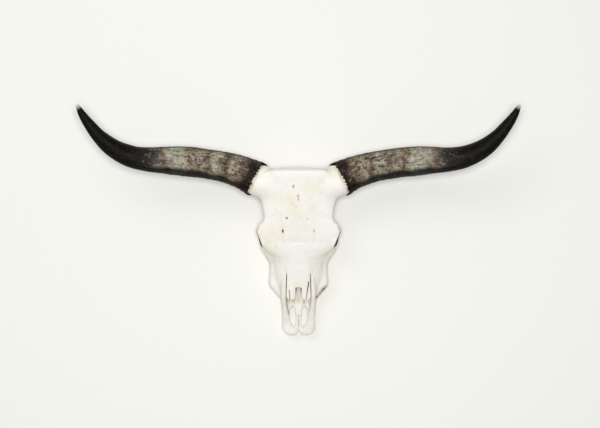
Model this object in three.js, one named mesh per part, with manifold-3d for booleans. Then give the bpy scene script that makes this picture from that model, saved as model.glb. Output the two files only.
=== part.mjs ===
// A longhorn cow's skull without its lower jaw, at life size, lying at rest on its cheek teeth and jugular processes.
// Millimetres, +Z up. The muzzle points along -Y, the horns reach out along X, and x = 0 is the skull's midline.
// While the skull is built, y = 0 is the muzzle's tip and z = 0 is the ground that the teeth stand on.
import * as THREE from "three";
import { LoftGeometry } from "three/addons/geometries/LoftGeometry.js";
import { mergeVertices } from "three/addons/utils/BufferGeometryUtils.js";
import Module from "manifold-3d";

// ---- Driving dimensions ----
const SUTURE = 0.3; // gap between neighbouring bones
const ORBIT = { x: 106, y: 281, z: 117, r: 32.5, rim: 5, turn: 0.24, lift: 0.14 }; // eye socket's bony ring
const FORAMEN_R = 19; // radius of the foramen magnum
const TOOTH_ROW = { start: 126, nearX: 42, farX: 57, root: 34 };
const TOOTH_LENGTHS = [16, 18, 18, 24, 28, 29]; // second premolar back to last molar
const TOOTH_WIDTHS = [14, 17, 19, 23, 25, 24];
const NOSE_SLOPE = { low: [66, 56], high: [178, 116] }; // side edge of the nose's opening, as [y, z]
const INCISIVE_SUTURE = { low: [70, 30], high: [174, 106] };
const CRANIAL_SUTURE = { low: [274, 20], high: [234, 140] };
const FRONTAL_SUTURE = { low: [234, 96], high: [486, 172] };
const BONE = { color: 0xf1eee4, roughness: 0.75, metalness: 0 };
const HORN = { color: 0x2a2320, roughness: 0.45, metalness: 0 };

// Height of the skull's roof along the midline, from the nose tips back to the poll.
const ROOF = [
  [98, 93],
  [138, 104],
  [208, 127],
  [258, 145],
  [308, 165],
  [358, 184],
  [408, 200],
  [456, 214],
  [478, 219],
];

// ---- Midline forms, sectioned across the skull ----
// y is the distance behind the muzzle's tip, z the section's middle, w its half-width, up and down its rise and drop,
// and n its squareness, where 2 is an ellipse. A section without z hangs from the roof, or stands lift above it.
const FOREHEAD = [
  { y: 232, w: 40, up: 14, down: 22, n: 2.2 },
  { y: 252, w: 84, up: 13, down: 22, n: 2.6 },
  { y: 274, w: 105, up: 10, down: 20, n: 3.2 },
  { y: 302, w: 113, up: 10, down: 20, n: 3.2 },
  { y: 334, w: 103, up: 18, down: 22, n: 2.6 },
  { y: 358, w: 101, up: 21, down: 24, n: 2.6 },
  { y: 382, w: 104, up: 27, down: 28, n: 2.5 },
  { y: 408, w: 110, up: 33, down: 32, n: 2.5 },
  { y: 444, w: 106, up: 36, down: 36, n: 2.5 },
  { y: 473, w: 84, up: 22, down: 28, n: 2.4 },
  { y: 479, z: 196, w: 70, up: 14, down: 18, n: 2.4 },
];
const FACE = [
  { y: 58, z: 47, w: 40, up: 12, down: 11, n: 2.4 },
  { y: 98, z: 56, w: 45, up: 38, down: 20, n: 2 },
  { y: 120, z: 56, w: 52, up: 44, down: 22, n: 2 },
  { y: 142, z: 57, w: 63, up: 49, down: 24, n: 1.9 },
  { y: 172, z: 61, w: 74, up: 55, down: 28, n: 1.8 },
  { y: 214, z: 70, w: 77, up: 60, down: 34, n: 1.8 },
  { y: 240, z: 82, w: 89, up: 57, down: 40, n: 2.3 },
  { y: 260, z: 92, w: 102, up: 52, down: 44, n: 3 },
  { y: 288, z: 100, w: 98, up: 46, down: 44, n: 2.8 },
  { y: 318, z: 108, w: 50, up: 42, down: 28, n: 2.2 },
];
const NASAL_BONES = [
  { y: 106, w: 22, up: 4, down: 5, lift: 1 },
  { y: 116, w: 29, up: 6, down: 7, lift: 1 },
  { y: 138, w: 32.5, up: 9, down: 10, n: 2.4, lift: 1 },
  { y: 176, w: 32, up: 11, down: 14, n: 2.6, lift: 1 },
  { y: 216, w: 29, up: 9, down: 14, n: 2.6, lift: 1.2 },
  { y: 266, w: 15, up: 6, down: 12, n: 2.8, lift: 0.8 },
];
const BRAINCASE = [
  { y: 300, z: 110, w: 40, up: 40, down: 30, n: 2.2 },
  { y: 344, z: 118, w: 56, up: 50, down: 43, n: 2.3 },
  { y: 396, z: 124, w: 67, up: 60, down: 52, n: 2.4 },
  { y: 436, z: 130, w: 78, up: 74, down: 58, n: 2.6 },
  { y: 460, z: 134, w: 78, up: 72, down: 58, n: 2.6 },
  { y: 468, z: 136, w: 66, up: 62, down: 48, n: 2.5 },
];
const SKULL_BASE = [
  { y: 306, z: 86, w: 15, up: 26, down: 10 },
  { y: 352, z: 77, w: 17, up: 26, down: 10 },
  { y: 400, z: 60, w: 24, up: 28, down: 15 },
  { y: 426, z: 58, w: 24, up: 28, down: 12 },
  { y: 456, z: 58, w: 22, up: 20, down: 11 },
];
const PALATE = [
  { y: 72, z: 38, w: 36, up: 5, down: 4, n: 4 },
  { y: 128, z: 40, w: 44, up: 6, down: 4, n: 4 },
  { y: 208, z: 43, w: 50, up: 7, down: 4, n: 4 },
  { y: 270, z: 45, w: 46, up: 7, down: 4, n: 4 },
  { y: 284, z: 46, w: 30, up: 6, down: 3, n: 3 },
];
const VOMER = [
  { y: 104, z: 47, w: 1.8, up: 5, down: 1.2, n: 4 },
  { y: 148, z: 56, w: 2.2, up: 16, down: 7, n: 4 },
  { y: 208, z: 64, w: 2.4, up: 26, down: 12, n: 4 },
  { y: 270, z: 70, w: 2.4, up: 26, down: 15, n: 4 },
];

// ---- Midline hollows ----
const NASAL_CAVITY = [
  { y: 50, z: 66, w: 30, up: 30, down: 20, n: 2.6 },
  { y: 80, z: 66, w: 34, up: 46, down: 20, n: 2.6 },
  { y: 108, z: 68, w: 37, up: 27, down: 21, n: 2.6 },
  { y: 160, z: 73, w: 38, up: 31, down: 24, n: 2.6 },
  { y: 213, z: 80, w: 37, up: 40, down: 30, n: 2.4 },
  { y: 256, z: 84, w: 34, up: 45, down: 31, n: 2.4 },
  { y: 293, z: 86, w: 24, up: 42, down: 22, n: 2.4 },
];
const CHOANA = [
  { y: 254, z: 66, w: 17, up: 13, down: 12, n: 2.6 },
  { y: 284, z: 58, w: 20, up: 22, down: 30, n: 2.6 },
  { y: 360, z: 42, w: 17, up: 14, down: 34, n: 2.6 },
];
const NASAL_NOTCH = [
  { y: 98, z: 98, w: 15, up: 20, down: 20, n: 3 },
  { y: 126, z: 104, w: 11, up: 20, down: 20, n: 3 },
  { y: 138, z: 108, w: 7, up: 20, down: 20, n: 3 },
];

// ---- Paired forms, sectioned across the skull. x is the section's middle on the right side. ----
const INCISIVE_BODY = [
  { y: 0, x: 20, z: 37, w: 10, up: 3.5, down: 3.5 },
  { y: 6, x: 22, z: 37.5, w: 17.5, up: 6, down: 5, n: 2.4 },
  { y: 20, x: 25, z: 38.5, w: 22, up: 7, down: 6, n: 2.6 },
  { y: 38, x: 30.5, z: 40, w: 17, up: 8, down: 7, n: 2.4 },
  { y: 60, x: 37.5, z: 46, w: 10.3, up: 12, down: 11 },
  { y: 90, x: 41.5, z: 57, w: 8, up: 17, down: 20, n: 2.2 },
  { y: 122, x: 44, z: 71, w: 7, up: 19, down: 26, n: 2.2 },
  { y: 152, x: 42.5, z: 88, w: 5.6, up: 14, down: 20 },
  { y: 174, x: 39, z: 104, w: 3.6, up: 6, down: 12 },
];
const PALATINE_PROCESS = [
  { y: 14, x: 4.4, z: 37, w: 2.9, up: 3, down: 3 },
  { y: 104, x: 4, z: 39, w: 3, up: 3.4, down: 3 },
];
const ALVEOLAR_RIDGE = [
  { y: 64, x: 38.5, z: 37, w: 6, up: 12, down: 4 },
  { y: 104, x: 42, z: 38, w: 8, up: 14, down: 6 },
  { y: 126, x: 45, z: 38, w: 11, up: 18, down: 12 },
  { y: 154, x: 50, z: 38, w: 15, up: 22, down: 16 },
  { y: 194, x: 55, z: 40, w: 17.5, up: 26, down: 18 },
  { y: 234, x: 58, z: 42, w: 18, up: 28, down: 20 },
  { y: 258, x: 57, z: 46, w: 17, up: 28, down: 22 },
  { y: 276, x: 50, z: 58, w: 10, up: 20, down: 18 },
];
const PTERYGOID_PLATE = [
  { y: 258, x: 34, z: 56, w: 10, up: 26, down: 14 },
  { y: 286, x: 27, z: 66, w: 4.4, up: 28, down: 24, n: 3 },
  { y: 322, x: 23, z: 72, w: 3.2, up: 24, down: 25, n: 3 },
  { y: 364, x: 17, z: 78, w: 5, up: 8, down: 10 },
];
const TEMPORAL_FOSSA = [
  { y: 306, x: 90, z: 118, w: 24, up: 22, down: 40, n: 2.4 },
  { y: 334, x: 95, z: 126, w: 35, up: 32, down: 54, n: 2.6 },
  { y: 366, x: 99, z: 131, w: 36, up: 34, down: 64, n: 2.6 },
  { y: 402, x: 103, z: 133, w: 35, up: 28, down: 60, n: 2.6 },
  { y: 436, x: 109, z: 133, w: 26, up: 8, down: 18, n: 2.3 },
];
const PALATINE_FISSURE = [
  { y: 23, x: 14, z: 38, w: 2, up: 20, down: 20 },
  { y: 34, x: 15.5, z: 38, w: 7.5, up: 20, down: 20 },
  { y: 56, x: 17.7, z: 38, w: 10.2, up: 20, down: 20 },
  { y: 76, x: 17.5, z: 38, w: 8.5, up: 20, down: 20 },
  { y: 84, x: 16, z: 38, w: 3, up: 20, down: 20 },
];

// ---- Paired forms that follow a path. w is the half-width across the path and h the half-height. ----
const HORN_CORE = [
  { x: 24, y: 436, z: 166, w: 24, h: 26 },
  { x: 62, y: 437, z: 168, w: 38, h: 37 },
  { x: 94, y: 442, z: 168, w: 45, h: 41 },
  { x: 121, y: 452, z: 167, w: 47, h: 42 },
  { x: 135, y: 458, z: 168, w: 47, h: 42 },
];
const HORN_SHEATH = [
  { x: 122, y: 453.5, z: 168.5, w: 51, h: 45 },
  { x: 138, y: 461.5, z: 168, w: 49, h: 44 },
  { x: 164, y: 472.5, z: 171, w: 46, h: 43 },
  { x: 213, y: 486.5, z: 179, w: 43, h: 42 },
  { x: 270, y: 496, z: 188, w: 42, h: 41 },
  { x: 334, y: 502.5, z: 200, w: 41.5, h: 40 },
  { x: 377, y: 504.5, z: 209, w: 38, h: 37 },
  { x: 421, y: 506, z: 219, w: 34, h: 34 },
  { x: 466, y: 513.5, z: 231, w: 31, h: 31 },
  { x: 516, y: 536, z: 244, w: 26, h: 26 },
  { x: 555, y: 569, z: 257, w: 20, h: 20 },
  { x: 583, y: 604, z: 268, w: 15, h: 15 },
  { x: 601, y: 631, z: 276, w: 10.5, h: 10.5 },
  { x: 612, y: 652, z: 281, w: 5.5, h: 5.5 },
  { x: 615, y: 658, z: 282, w: 2, h: 2 },
];
const CHEEK = [
  { x: 46, y: 112, z: 58, w: 4, h: 6 },
  { x: 60, y: 132, z: 60, w: 9, h: 11 },
  { x: 70, y: 153, z: 62, w: 14, h: 15 },
  { x: 74, y: 178, z: 66, w: 9, h: 12 },
  { x: 76, y: 212, z: 74, w: 6, h: 13 },
  { x: 87, y: 238, z: 80, w: 8, h: 18 },
  { x: 101, y: 258, z: 79, w: 8, h: 15 },
  { x: 111, y: 288, z: 81, w: 6, h: 12 },
  { x: 109, y: 314, z: 87, w: 6, h: 11 },
];
const CHEEK_ARCH = [
  { x: 110, y: 306, z: 86, w: 5.5, h: 11 },
  { x: 106, y: 336, z: 90, w: 4.6, h: 9 },
  { x: 100, y: 362, z: 93, w: 4.6, h: 8.5 },
  { x: 92, y: 386, z: 96, w: 7, h: 9 },
  { x: 76, y: 400, z: 100, w: 10, h: 12 },
  { x: 56, y: 404, z: 104, w: 12, h: 16 },
];
const POSTORBITAL_BAR = [
  { x: 100, y: 311, z: 156, w: 13, h: 8 },
  { x: 109, y: 314, z: 124, w: 8, h: 4.5 },
  { x: 109, y: 312, z: 86, w: 13, h: 5 },
];
const MASTOID = [
  { x: 88, y: 446, z: 168, w: 9, h: 10 },
  { x: 85, y: 446, z: 146, w: 11, h: 13 },
  { x: 92, y: 438, z: 112, w: 11, h: 16 },
  { x: 74, y: 434, z: 82, w: 13, h: 15 },
];
const MASTOID_ROOT = [
  { x: 40, y: 440, z: 106, w: 18, h: 30 },
  { x: 90, y: 438, z: 106, w: 13, h: 24 },
];
const EAR_CANAL = [
  { x: 54, y: 414, z: 90, w: 13, h: 14 },
  { x: 94, y: 406, z: 102, w: 8.5, h: 8.5 },
];
const BULLA = [
  { x: 47, y: 430, z: 66, w: 6, h: 10 },
  { x: 47, y: 414, z: 63, w: 11, h: 23 },
  { x: 42, y: 388, z: 58, w: 5, h: 14 },
];
const CONDYLE = [
  { x: 14, y: 448, z: 46, w: 8, h: 8 },
  { x: 28, y: 454, z: 54, w: 17, h: 15 },
  { x: 39, y: 453, z: 76, w: 16, h: 15 },
  { x: 37, y: 444, z: 94, w: 6, h: 8 },
];
const JUGULAR_PROCESS = [
  { x: 68, y: 436, z: 96, w: 17, h: 15 },
  { x: 68, y: 439, z: 62, w: 12, h: 14 },
  { x: 63, y: 440, z: 30, w: 8, h: 11 },
  { x: 55, y: 434, z: 0, w: 5, h: 7.5 },
];
const EYE_SOCKET = [
  { x: 146, y: 271, z: 122, w: 35, h: 35 },
  { x: 106, y: 281, z: 117, w: 31, h: 31 },
  { x: 77, y: 293, z: 114, w: 26, h: 27 },
  { x: 46, y: 308, z: 108, w: 9, h: 10 },
];
const MARROW_HOLE = [
  { x: 0, y: 490, z: 76, w: FORAMEN_R, h: FORAMEN_R - 1 },
  { x: 0, y: 446, z: 80, w: FORAMEN_R, h: FORAMEN_R - 1 },
  { x: 0, y: 428, z: 88, w: FORAMEN_R + 7, h: FORAMEN_R + 6 },
  { x: 0, y: 404, z: 96, w: 12, h: 12 },
];
const CHEEK_FORAMEN = [
  { x: 74, y: 124, z: 58, w: 6, h: 5 },
  { x: 54, y: 146, z: 62, w: 5, h: 4 },
];

// ---- Tools ----
const wasm = await Module();
wasm.setup();

// Height of the roof at y, straight between the profile's points.
function roof(y) {
  const last = ROOF.length - 2;
  const i = Math.min(last, Math.max(0, ROOF.findIndex(([end]) => end > y) - 1));
  const [[y0, z0], [y1, z1]] = [ROOF[i], ROOF[i + 1]];
  return THREE.MathUtils.mapLinear(y, y0, y1, z0, z1);
}

// A sine or cosine raised to 2 / n, which turns a circle into a superellipse.
function squared(value, n) {
  return Math.sign(value) * Math.abs(value) ** (2 / n);
}

// A closed manifold solid of a three.js geometry.
function solid(geometry) {
  const bare = new THREE.BufferGeometry().copy(geometry);
  bare.deleteAttribute("normal");
  bare.deleteAttribute("uv");
  const merged = mergeVertices(bare, 1e-3);
  const mesh = new wasm.Mesh({
    numProp: 3,
    vertProperties: merged.attributes.position.array,
    triVerts: new Uint32Array(merged.index.array),
  });
  return new wasm.Manifold(mesh);
}

// Skins rings of points, on the right side of the skull or mirrored to the left.
function skin(rings, side) {
  if (side < 0) {
    rings.forEach((ring) => {
      ring.forEach((point) => (point.x = -point.x));
      ring.reverse();
    });
  }
  return solid(new LoftGeometry(rings, { capStart: true, capEnd: true }));
}

// A form whose sections stand across the skull, from front to back. grow makes it larger all round.
function across(stations, { around = 16, side = 1, grow = 0 } = {}) {
  const rings = stations.map(({ y, x = 0, z, w, up, down, n = 2, lift = 0 }, row) => {
    const middle = z ?? roof(y) + lift - up;
    const ends = row === 0 ? -grow : row === stations.length - 1 ? grow : 0;
    return Array.from({ length: around }, (_, i) => {
      const angle = (i / around) * Math.PI * 2;
      const rise = (Math.sin(angle) > 0 ? up : down) + grow;
      return new THREE.Vector3(
        x - (w + grow) * squared(Math.cos(angle), n),
        y + ends,
        middle + rise * squared(Math.sin(angle), n),
      );
    });
  });
  return skin(rings, side);
}

// A form whose oval sections stand square to a path. reference is roughly the way their height points.
function along(stations, { around = 12, side = 1, reference = [0, 0, 1], flatEnd, grow = 0, n = 2 } = {}) {
  const points = stations.map(({ x, y, z }) => new THREE.Vector3(x, y, z));
  const last = points.length - 1;
  const rings = stations.map(({ w, h }, i) => {
    const tangent = points[Math.min(i + 1, last)].clone().sub(points[Math.max(i - 1, 0)]).normalize();
    if (flatEnd && i === last) tangent.set(0, 0, -1);
    const across = tangent.clone().cross(new THREE.Vector3(...reference)).normalize();
    const height = across.clone().cross(tangent);
    const ends = i === 0 ? -grow : i === last ? grow : 0;
    return Array.from({ length: around }, (_, j) => {
      const angle = (j / around) * Math.PI * 2;
      return points[i]
        .clone()
        .addScaledVector(tangent, ends)
        .addScaledVector(across, -(w + grow) * squared(Math.cos(angle), n))
        .addScaledVector(height, (h + grow) * squared(Math.sin(angle), n));
    });
  });
  return skin(rings, side);
}

// Both sides of a paired form as a list.
function pair(make, stations, options) {
  return [1, -1].map((side) => make(stations, { ...options, side }));
}

function join(parts) {
  return parts.reduce((whole, part) => whole.add(part));
}

function carve(whole, parts) {
  return parts.reduce((left, part) => left.subtract(part), whole);
}

// A slab with a [y, z] outline, between two distances from the midline.
function prism(outline, x0, x1) {
  const shape = new THREE.Shape(outline.map(([y, z]) => new THREE.Vector2(y, z)));
  const geometry = new THREE.ExtrudeGeometry(shape, { depth: x1 - x0, bevelEnabled: false });
  const turn = new THREE.Matrix4().set(0, 0, 1, x0, 1, 0, 0, 0, 0, 1, 0, 0, 0, 0, 0, 1);
  return solid(geometry.applyMatrix4(turn));
}

// A plane through the line from low to high, square to the midline, as its unit normal and offset. The normal points
// to the side of the nose's tip and the roof.
function sloped({ low: [y0, z0], high: [y1, z1] }) {
  const normal = new THREE.Vector3(0, z0 - z1, y1 - y0).normalize();
  if (normal.z < 0 && normal.y > 0) normal.negate();
  return { normal, offset: normal.y * y0 + normal.z * z0 };
}

// Parts a solid along a sloped plane with a suture's gap: first the piece that the plane's normal points to.
function partAt(whole, line) {
  const { normal, offset } = sloped(line);
  return [
    whole.trimByPlane(normal.toArray(), offset + SUTURE / 2),
    whole.trimByPlane(normal.clone().negate().toArray(), SUTURE / 2 - offset),
  ];
}

// The left and right halves of a midline solid, with a suture's gap between them.
function halves(whole) {
  return { left: whole.trimByPlane([-1, 0, 0], SUTURE / 2), right: whole.trimByPlane([1, 0, 0], SUTURE / 2) };
}

// The largest separate body of a solid, which leaves out the slivers of a cut.
function largest(whole) {
  return whole.decompose().reduce((best, body) => (body.volume() > best.volume() ? body : best));
}

// ---- Pieces of the skull ----

// One row of cheek teeth: squarish crowns that stand down from the jaw to the ground.
function toothRow(side) {
  const rowLength = TOOTH_LENGTHS.reduce((sum, length) => sum + length);
  let y = TOOTH_ROW.start;
  return TOOTH_LENGTHS.map((length, i) => {
    const middle = y + length / 2;
    const share = (middle - TOOTH_ROW.start) / rowLength;
    const x = THREE.MathUtils.lerp(TOOTH_ROW.nearX, TOOTH_ROW.farX, Math.sin((share * Math.PI) / 2));
    const half = TOOTH_WIDTHS[i] / 2;
    y += length;
    const crown = [
      { x, y: middle, z: TOOTH_ROW.root, w: half - 1, h: length / 2 - 0.6 },
      { x: x + 0.8, y: middle, z: 0, w: half - 0.5, h: length / 2 - 0.3 },
    ];
    return along(crown, { side, around: 8, reference: [0, 1, 0], n: 4, flatEnd: true });
  });
}

// The raised bony ring round an eye socket, turned forwards and a little up.
function socketRing(side) {
  const ring = new THREE.TorusGeometry(ORBIT.r, ORBIT.rim, 5, 14);
  ring.rotateY(side * (Math.PI / 2 - ORBIT.lift)).rotateZ(-side * ORBIT.turn);
  return solid(ring.translate(side * ORBIT.x, ORBIT.y, ORBIT.z));
}

// Everything of the skull but the horn sheaths, as one solid.
function wholeSkull() {
  const nose = sloped(NOSE_SLOPE);
  const face = across(FACE, { around: 12 }).trimByPlane(nose.normal.negate().toArray(), -nose.offset);
  const box = join([
    face,
    across(FOREHEAD, { around: 14 }),
    across(BRAINCASE, { around: 12 }),
    ...pair(along, HORN_CORE, { around: 12 }),
    ...pair(across, ALVEOLAR_RIDGE, { around: 6 }),
    ...pair(along, CHEEK, { around: 6 }),
  ]);
  const opened = carve(box, [
    ...pair(along, EYE_SOCKET, { around: 9 }),
    ...pair(across, TEMPORAL_FOSSA, { around: 8 }),
    across(NASAL_CAVITY, { around: 10 }),
  ]);
  const dressed = join([
    opened,
    across(PALATE, { around: 6 }),
    across(SKULL_BASE, { around: 8 }),
    socketRing(1),
    socketRing(-1),
    ...pair(across, INCISIVE_BODY, { around: 8 }),
    ...pair(across, PALATINE_PROCESS, { around: 6 }),
    ...pair(across, PTERYGOID_PLATE, { around: 6 }),
    ...pair(along, CHEEK_ARCH, { around: 6 }),
    ...pair(along, POSTORBITAL_BAR, { around: 6, reference: [1, 0, 0] }),
    ...pair(along, MASTOID, { around: 6, reference: [0, 1, 0] }),
    ...pair(along, MASTOID_ROOT, { around: 5 }),
    ...pair(along, EAR_CANAL, { around: 6 }),
    ...pair(along, BULLA, { around: 6 }),
    ...pair(along, CONDYLE, { around: 7, reference: [0, 1, 0] }),
    ...pair(along, JUGULAR_PROCESS, { around: 6, reference: [0, 1, 0], flatEnd: true }),
    ...toothRow(1),
    ...toothRow(-1),
  ]);
  return carve(dressed, [
    across(CHOANA, { around: 8 }),
    along(MARROW_HOLE, { around: 10 }),
    ...pair(across, PALATINE_FISSURE, { around: 6 }),
    ...pair(along, CHEEK_FORAMEN, { around: 6 }),
  ]);
}

// The room that the frontal bones take: above their suture, and out round the horn cores.
function frontalRoom(grow) {
  const [[y0, z0], [y1, z1]] = [FRONTAL_SUTURE.low, FRONTAL_SUTURE.high];
  const above = [
    [y0 - 40, z0 - grow],
    [y0, z0 - grow],
    [y1, z1 - grow],
    [y1 + 60, z1 - grow],
    [y1 + 60, 300],
    [y0 - 40, 300],
  ];
  const core = [
    [386 - grow, 122 - grow],
    [540, 122 - grow],
    [540, 240],
    [386 - grow, 240],
  ];
  return join([prism(above, -200, 200), prism(core, 96 - grow, 180), prism(core, -180, -96 + grow)]);
}

// The room of one cheekbone: outside the braincase, from the jaw's suture back to the middle of the cheek arch.
function cheekRoom(side, grow) {
  const room = [
    [200, 30],
    [346 + grow, 30],
    [346 + grow, 200],
    [200, 200],
  ];
  return side > 0 ? prism(room, 60 - grow, 170) : prism(room, -170, -60 + grow);
}

const pieces = {};

function addPair(name, { left, right }) {
  pieces[`${name}_left`] = largest(left);
  pieces[`${name}_right`] = largest(right);
}

// ---- Parting the skull into its bones ----
const nasals = carve(across(NASAL_BONES, { around: 14 }), [
  across(NASAL_CAVITY, { around: 10 }),
  across(NASAL_NOTCH, { around: 8 }),
]);
addPair("nasal", halves(nasals));

const skull = carve(wholeSkull(), [
  across(NASAL_BONES, { around: 14, grow: SUTURE }),
  ...pair(along, HORN_SHEATH, { around: 12, grow: SUTURE }),
  across(VOMER, { around: 8, grow: SUTURE }),
]);
const [front, rear] = partAt(skull, CRANIAL_SUTURE);
const [incisives, jaws] = partAt(front, INCISIVE_SUTURE);
addPair("premaxilla", halves(incisives));
addPair("maxilla", halves(jaws));

const lower = rear.subtract(frontalRoom(SUTURE));
pieces.frontal = largest(rear.intersect(frontalRoom(0)));
pieces.cheekbone_right = largest(lower.intersect(cheekRoom(1, 0)));
pieces.cheekbone_left = largest(lower.intersect(cheekRoom(-1, 0)));
pieces.braincase = largest(carve(lower, [cheekRoom(1, SUTURE), cheekRoom(-1, SUTURE)]));
pieces.vomer = across(VOMER, { around: 8 });
[pieces.horn_right, pieces.horn_left] = pair(along, HORN_SHEATH, { around: 12 });

// ---- The scene graph ----
const bone = new THREE.MeshStandardMaterial(BONE);
const horn = new THREE.MeshStandardMaterial(HORN);

function meshOf(name, piece) {
  const { numProp, vertProperties, triVerts, numVert } = piece.getMesh();
  const positions = new Float32Array(numVert * 3);
  for (let i = 0; i < numVert; i++) positions.set(vertProperties.subarray(i * numProp, i * numProp + 3), i * 3);
  const geometry = new THREE.BufferGeometry();
  geometry.setAttribute("position", new THREE.BufferAttribute(positions, 3));
  geometry.setIndex(new THREE.BufferAttribute(triVerts, 1));
  geometry.computeVertexNormals();
  const mesh = new THREE.Mesh(geometry, name.startsWith("horn") ? horn : bone);
  mesh.name = name;
  return mesh;
}

const part = new THREE.Group();
Object.entries(pieces).forEach(([name, piece]) => part.add(meshOf(name, piece)));

// The part's origin is the middle of its box, on the ground.
const box = new THREE.Box3().setFromObject(part);
part.children.forEach((mesh) => mesh.position.set(0, -(box.min.y + box.max.y) / 2, 0));

export default part;
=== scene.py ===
"""A longhorn cow's skull at life size: its separate bones, cheek teeth and horn sheaths, lying on a pale floor.

The skull's forms are lofts through a few stations. Each form becomes a field of distances, the fields are joined and
cut with rounded edges, the sutures part the whole into its bones, and each bone is skinned again as a mesh.
"""

import bpy
import numpy as np
import openvdb as vdb
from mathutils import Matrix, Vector


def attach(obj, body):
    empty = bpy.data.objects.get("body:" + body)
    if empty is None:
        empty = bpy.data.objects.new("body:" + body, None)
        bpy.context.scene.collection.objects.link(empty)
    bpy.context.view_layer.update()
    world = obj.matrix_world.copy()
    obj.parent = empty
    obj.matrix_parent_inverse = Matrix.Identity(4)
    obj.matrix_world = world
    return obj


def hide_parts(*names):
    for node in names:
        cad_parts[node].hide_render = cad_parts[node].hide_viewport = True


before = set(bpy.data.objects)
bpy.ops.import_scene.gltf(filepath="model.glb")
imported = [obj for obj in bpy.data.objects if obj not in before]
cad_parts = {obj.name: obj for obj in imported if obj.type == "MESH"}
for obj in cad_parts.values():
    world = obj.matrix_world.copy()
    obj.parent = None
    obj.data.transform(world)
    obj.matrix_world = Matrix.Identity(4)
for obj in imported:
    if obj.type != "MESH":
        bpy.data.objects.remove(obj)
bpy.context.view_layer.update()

bl_info = {
    "name": "Longhorn cow skull",
    "version": (1, 0, 0),
    "blender": (4, 5, 0),
    "location": "View3D > Sidebar > Skull",
    "description": "Builds a cow's skull as its bones, cheek teeth and horn sheaths",
    "category": "Add Mesh",
}

MM = 0.001
MIDDLE = 329.4  # y of the model's middle, in millimetres behind the muzzle's tip
BODY = "root"
LOW, HIGH = (0, -5, -5), (176, 490, 232)  # box of the right half of the skull's field, in millimetres
LAP = 0.35  # how far a bone reaches into its neighbours, in millimetres
BAND = 8  # cells of a form's field on either side of its surface
SKIN = 3.0  # distances beyond this don't matter when a bone is skinned
FAR = 9  # stands for the distance to a suture that doesn't reach a place

# ---- The skull's forms, in millimetres. y runs back from the muzzle's tip and z up from the ground. ----
ROOF = [(98, 93), (138, 104), (208, 127), (258, 145), (308, 165), (358, 184), (408, 200), (456, 214), (478, 219)]

# Sections that stand across the skull: y, x, z, half-width, rise, drop, squareness. Without z they hang from the roof.
FOREHEAD = [
    (226, 0, 112, 30, 14, 22, 2.2), (246, 0, 123, 82, 13, 22, 2.6), (263, 0, 135, 98, 11.5, 20, 3),
    (281, 0, None, 107, 10, 20, 3.2), (299, 0, None, 116, 10, 20, 3.2), (311, 0, None, 113.5, 12, 21, 3),
    (324, 0, None, 106, 15, 21, 2.8), (338, 0, None, 99.5, 18, 22, 2.6), (360, 0, None, 99, 21, 24, 2.6),
    (382, 0, None, 103, 27, 28, 2.5), (408, 0, None, 110, 33, 32, 2.5), (444, 0, None, 106, 36, 36, 2.5),
    (473, 0, None, 84, 22, 28, 2.4), (479, 0, 196, 70, 14, 18, 2.4),
]
FACE = [
    (58, 0, 47, 40, 12, 11, 2.4), (98, 0, 56, 45, 38, 20, 2), (120, 0, 56, 52, 44, 22, 2),
    (142, 0, 57, 63, 49, 24, 1.9), (172, 0, 61, 74, 55, 28, 1.9), (214, 0, 70, 79, 60, 34, 2.1),
    (240, 0, 82, 90, 58, 40, 2.7), (260, 0, 92, 101, 54, 44, 3.4), (288, 0, 100, 98, 46, 44, 2.8),
    (318, 0, 108, 50, 42, 28, 2.2),
]
NASAL_BONES = [
    (104, 0, None, 29, 4, 5, 2.4), (114, 0, None, 35, 5, 6, 2.6), (138, 0, None, 35, 8, 9, 2.6),
    (176, 0, None, 34, 10, 14, 2.6), (216, 0, None, 29, 9, 14, 2.6), (266, 0, None, 20, 6, 12, 2.8),
]
BRAINCASE = [
    (300, 0, 110, 40, 40, 30, 2.2), (344, 0, 118, 56, 50, 43, 2.3), (396, 0, 124, 67, 60, 52, 2.4),
    (436, 0, 130, 78, 74, 58, 2.6), (460, 0, 134, 78, 72, 58, 2.6), (468, 0, 136, 66, 62, 48, 2.5),
]
SKULL_BASE = [
    (306, 0, 86, 15, 26, 10, 2), (352, 0, 77, 17, 26, 10, 2), (400, 0, 60, 24, 28, 15, 2),
    (426, 0, 58, 24, 28, 12, 2), (456, 0, 58, 22, 20, 11, 2),
]
PALATE = [
    (56, 0, 38, 24, 1.5, 1.5, 3), (72, 0, 38, 36, 5, 4, 4), (128, 0, 40, 44, 6, 4, 4), (208, 0, 43, 50, 7, 4, 4),
    (270, 0, 45, 46, 7, 4, 4), (284, 0, 46, 30, 6, 3, 3),
]
VOMER_TROUGH = [  # y, half-width of the trough between its lips, height of the lips, height of the keel
    (92, 2.4, 45, 41), (104, 3.8, 56, 42), (120, 4.7, 69, 46), (140, 5.2, 81, 52), (162, 6.2, 85, 54),
    (208, 7, 88, 54), (270, 6.5, 93, 56),
]
VOMER_HOLLOW = 0.72  # width of the trough's inner face as a share of the outer one's
VOMER_DEPTH = ([125, 195], [0.16, 0.86])  # depth of the trough as a share of its height, by y
NASAL_CAVITY = [
    (50, 0, 66, 30, 30, 20, 2.6), (80, 0, 66, 34, 46, 20, 2.6), (108, 0, 68, 37, 27, 21, 2.6),
    (160, 0, 73, 38, 31, 24, 2.6), (213, 0, 80, 37, 40, 30, 2.4), (256, 0, 84, 34, 45, 31, 2.4),
    (293, 0, 86, 24, 42, 22, 2.4),
]
CHOANA = [(254, 0, 66, 17, 13, 12, 2.6), (284, 0, 58, 20, 22, 30, 2.6), (360, 0, 42, 17, 14, 34, 2.6)]
NASAL_NOTCH = [(96, 0, 98, 12, 20, 20, 4), (112, 0, 100, 9.8, 20, 20, 4), (141, 0, 108, 9, 20, 20, 4)]
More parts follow.
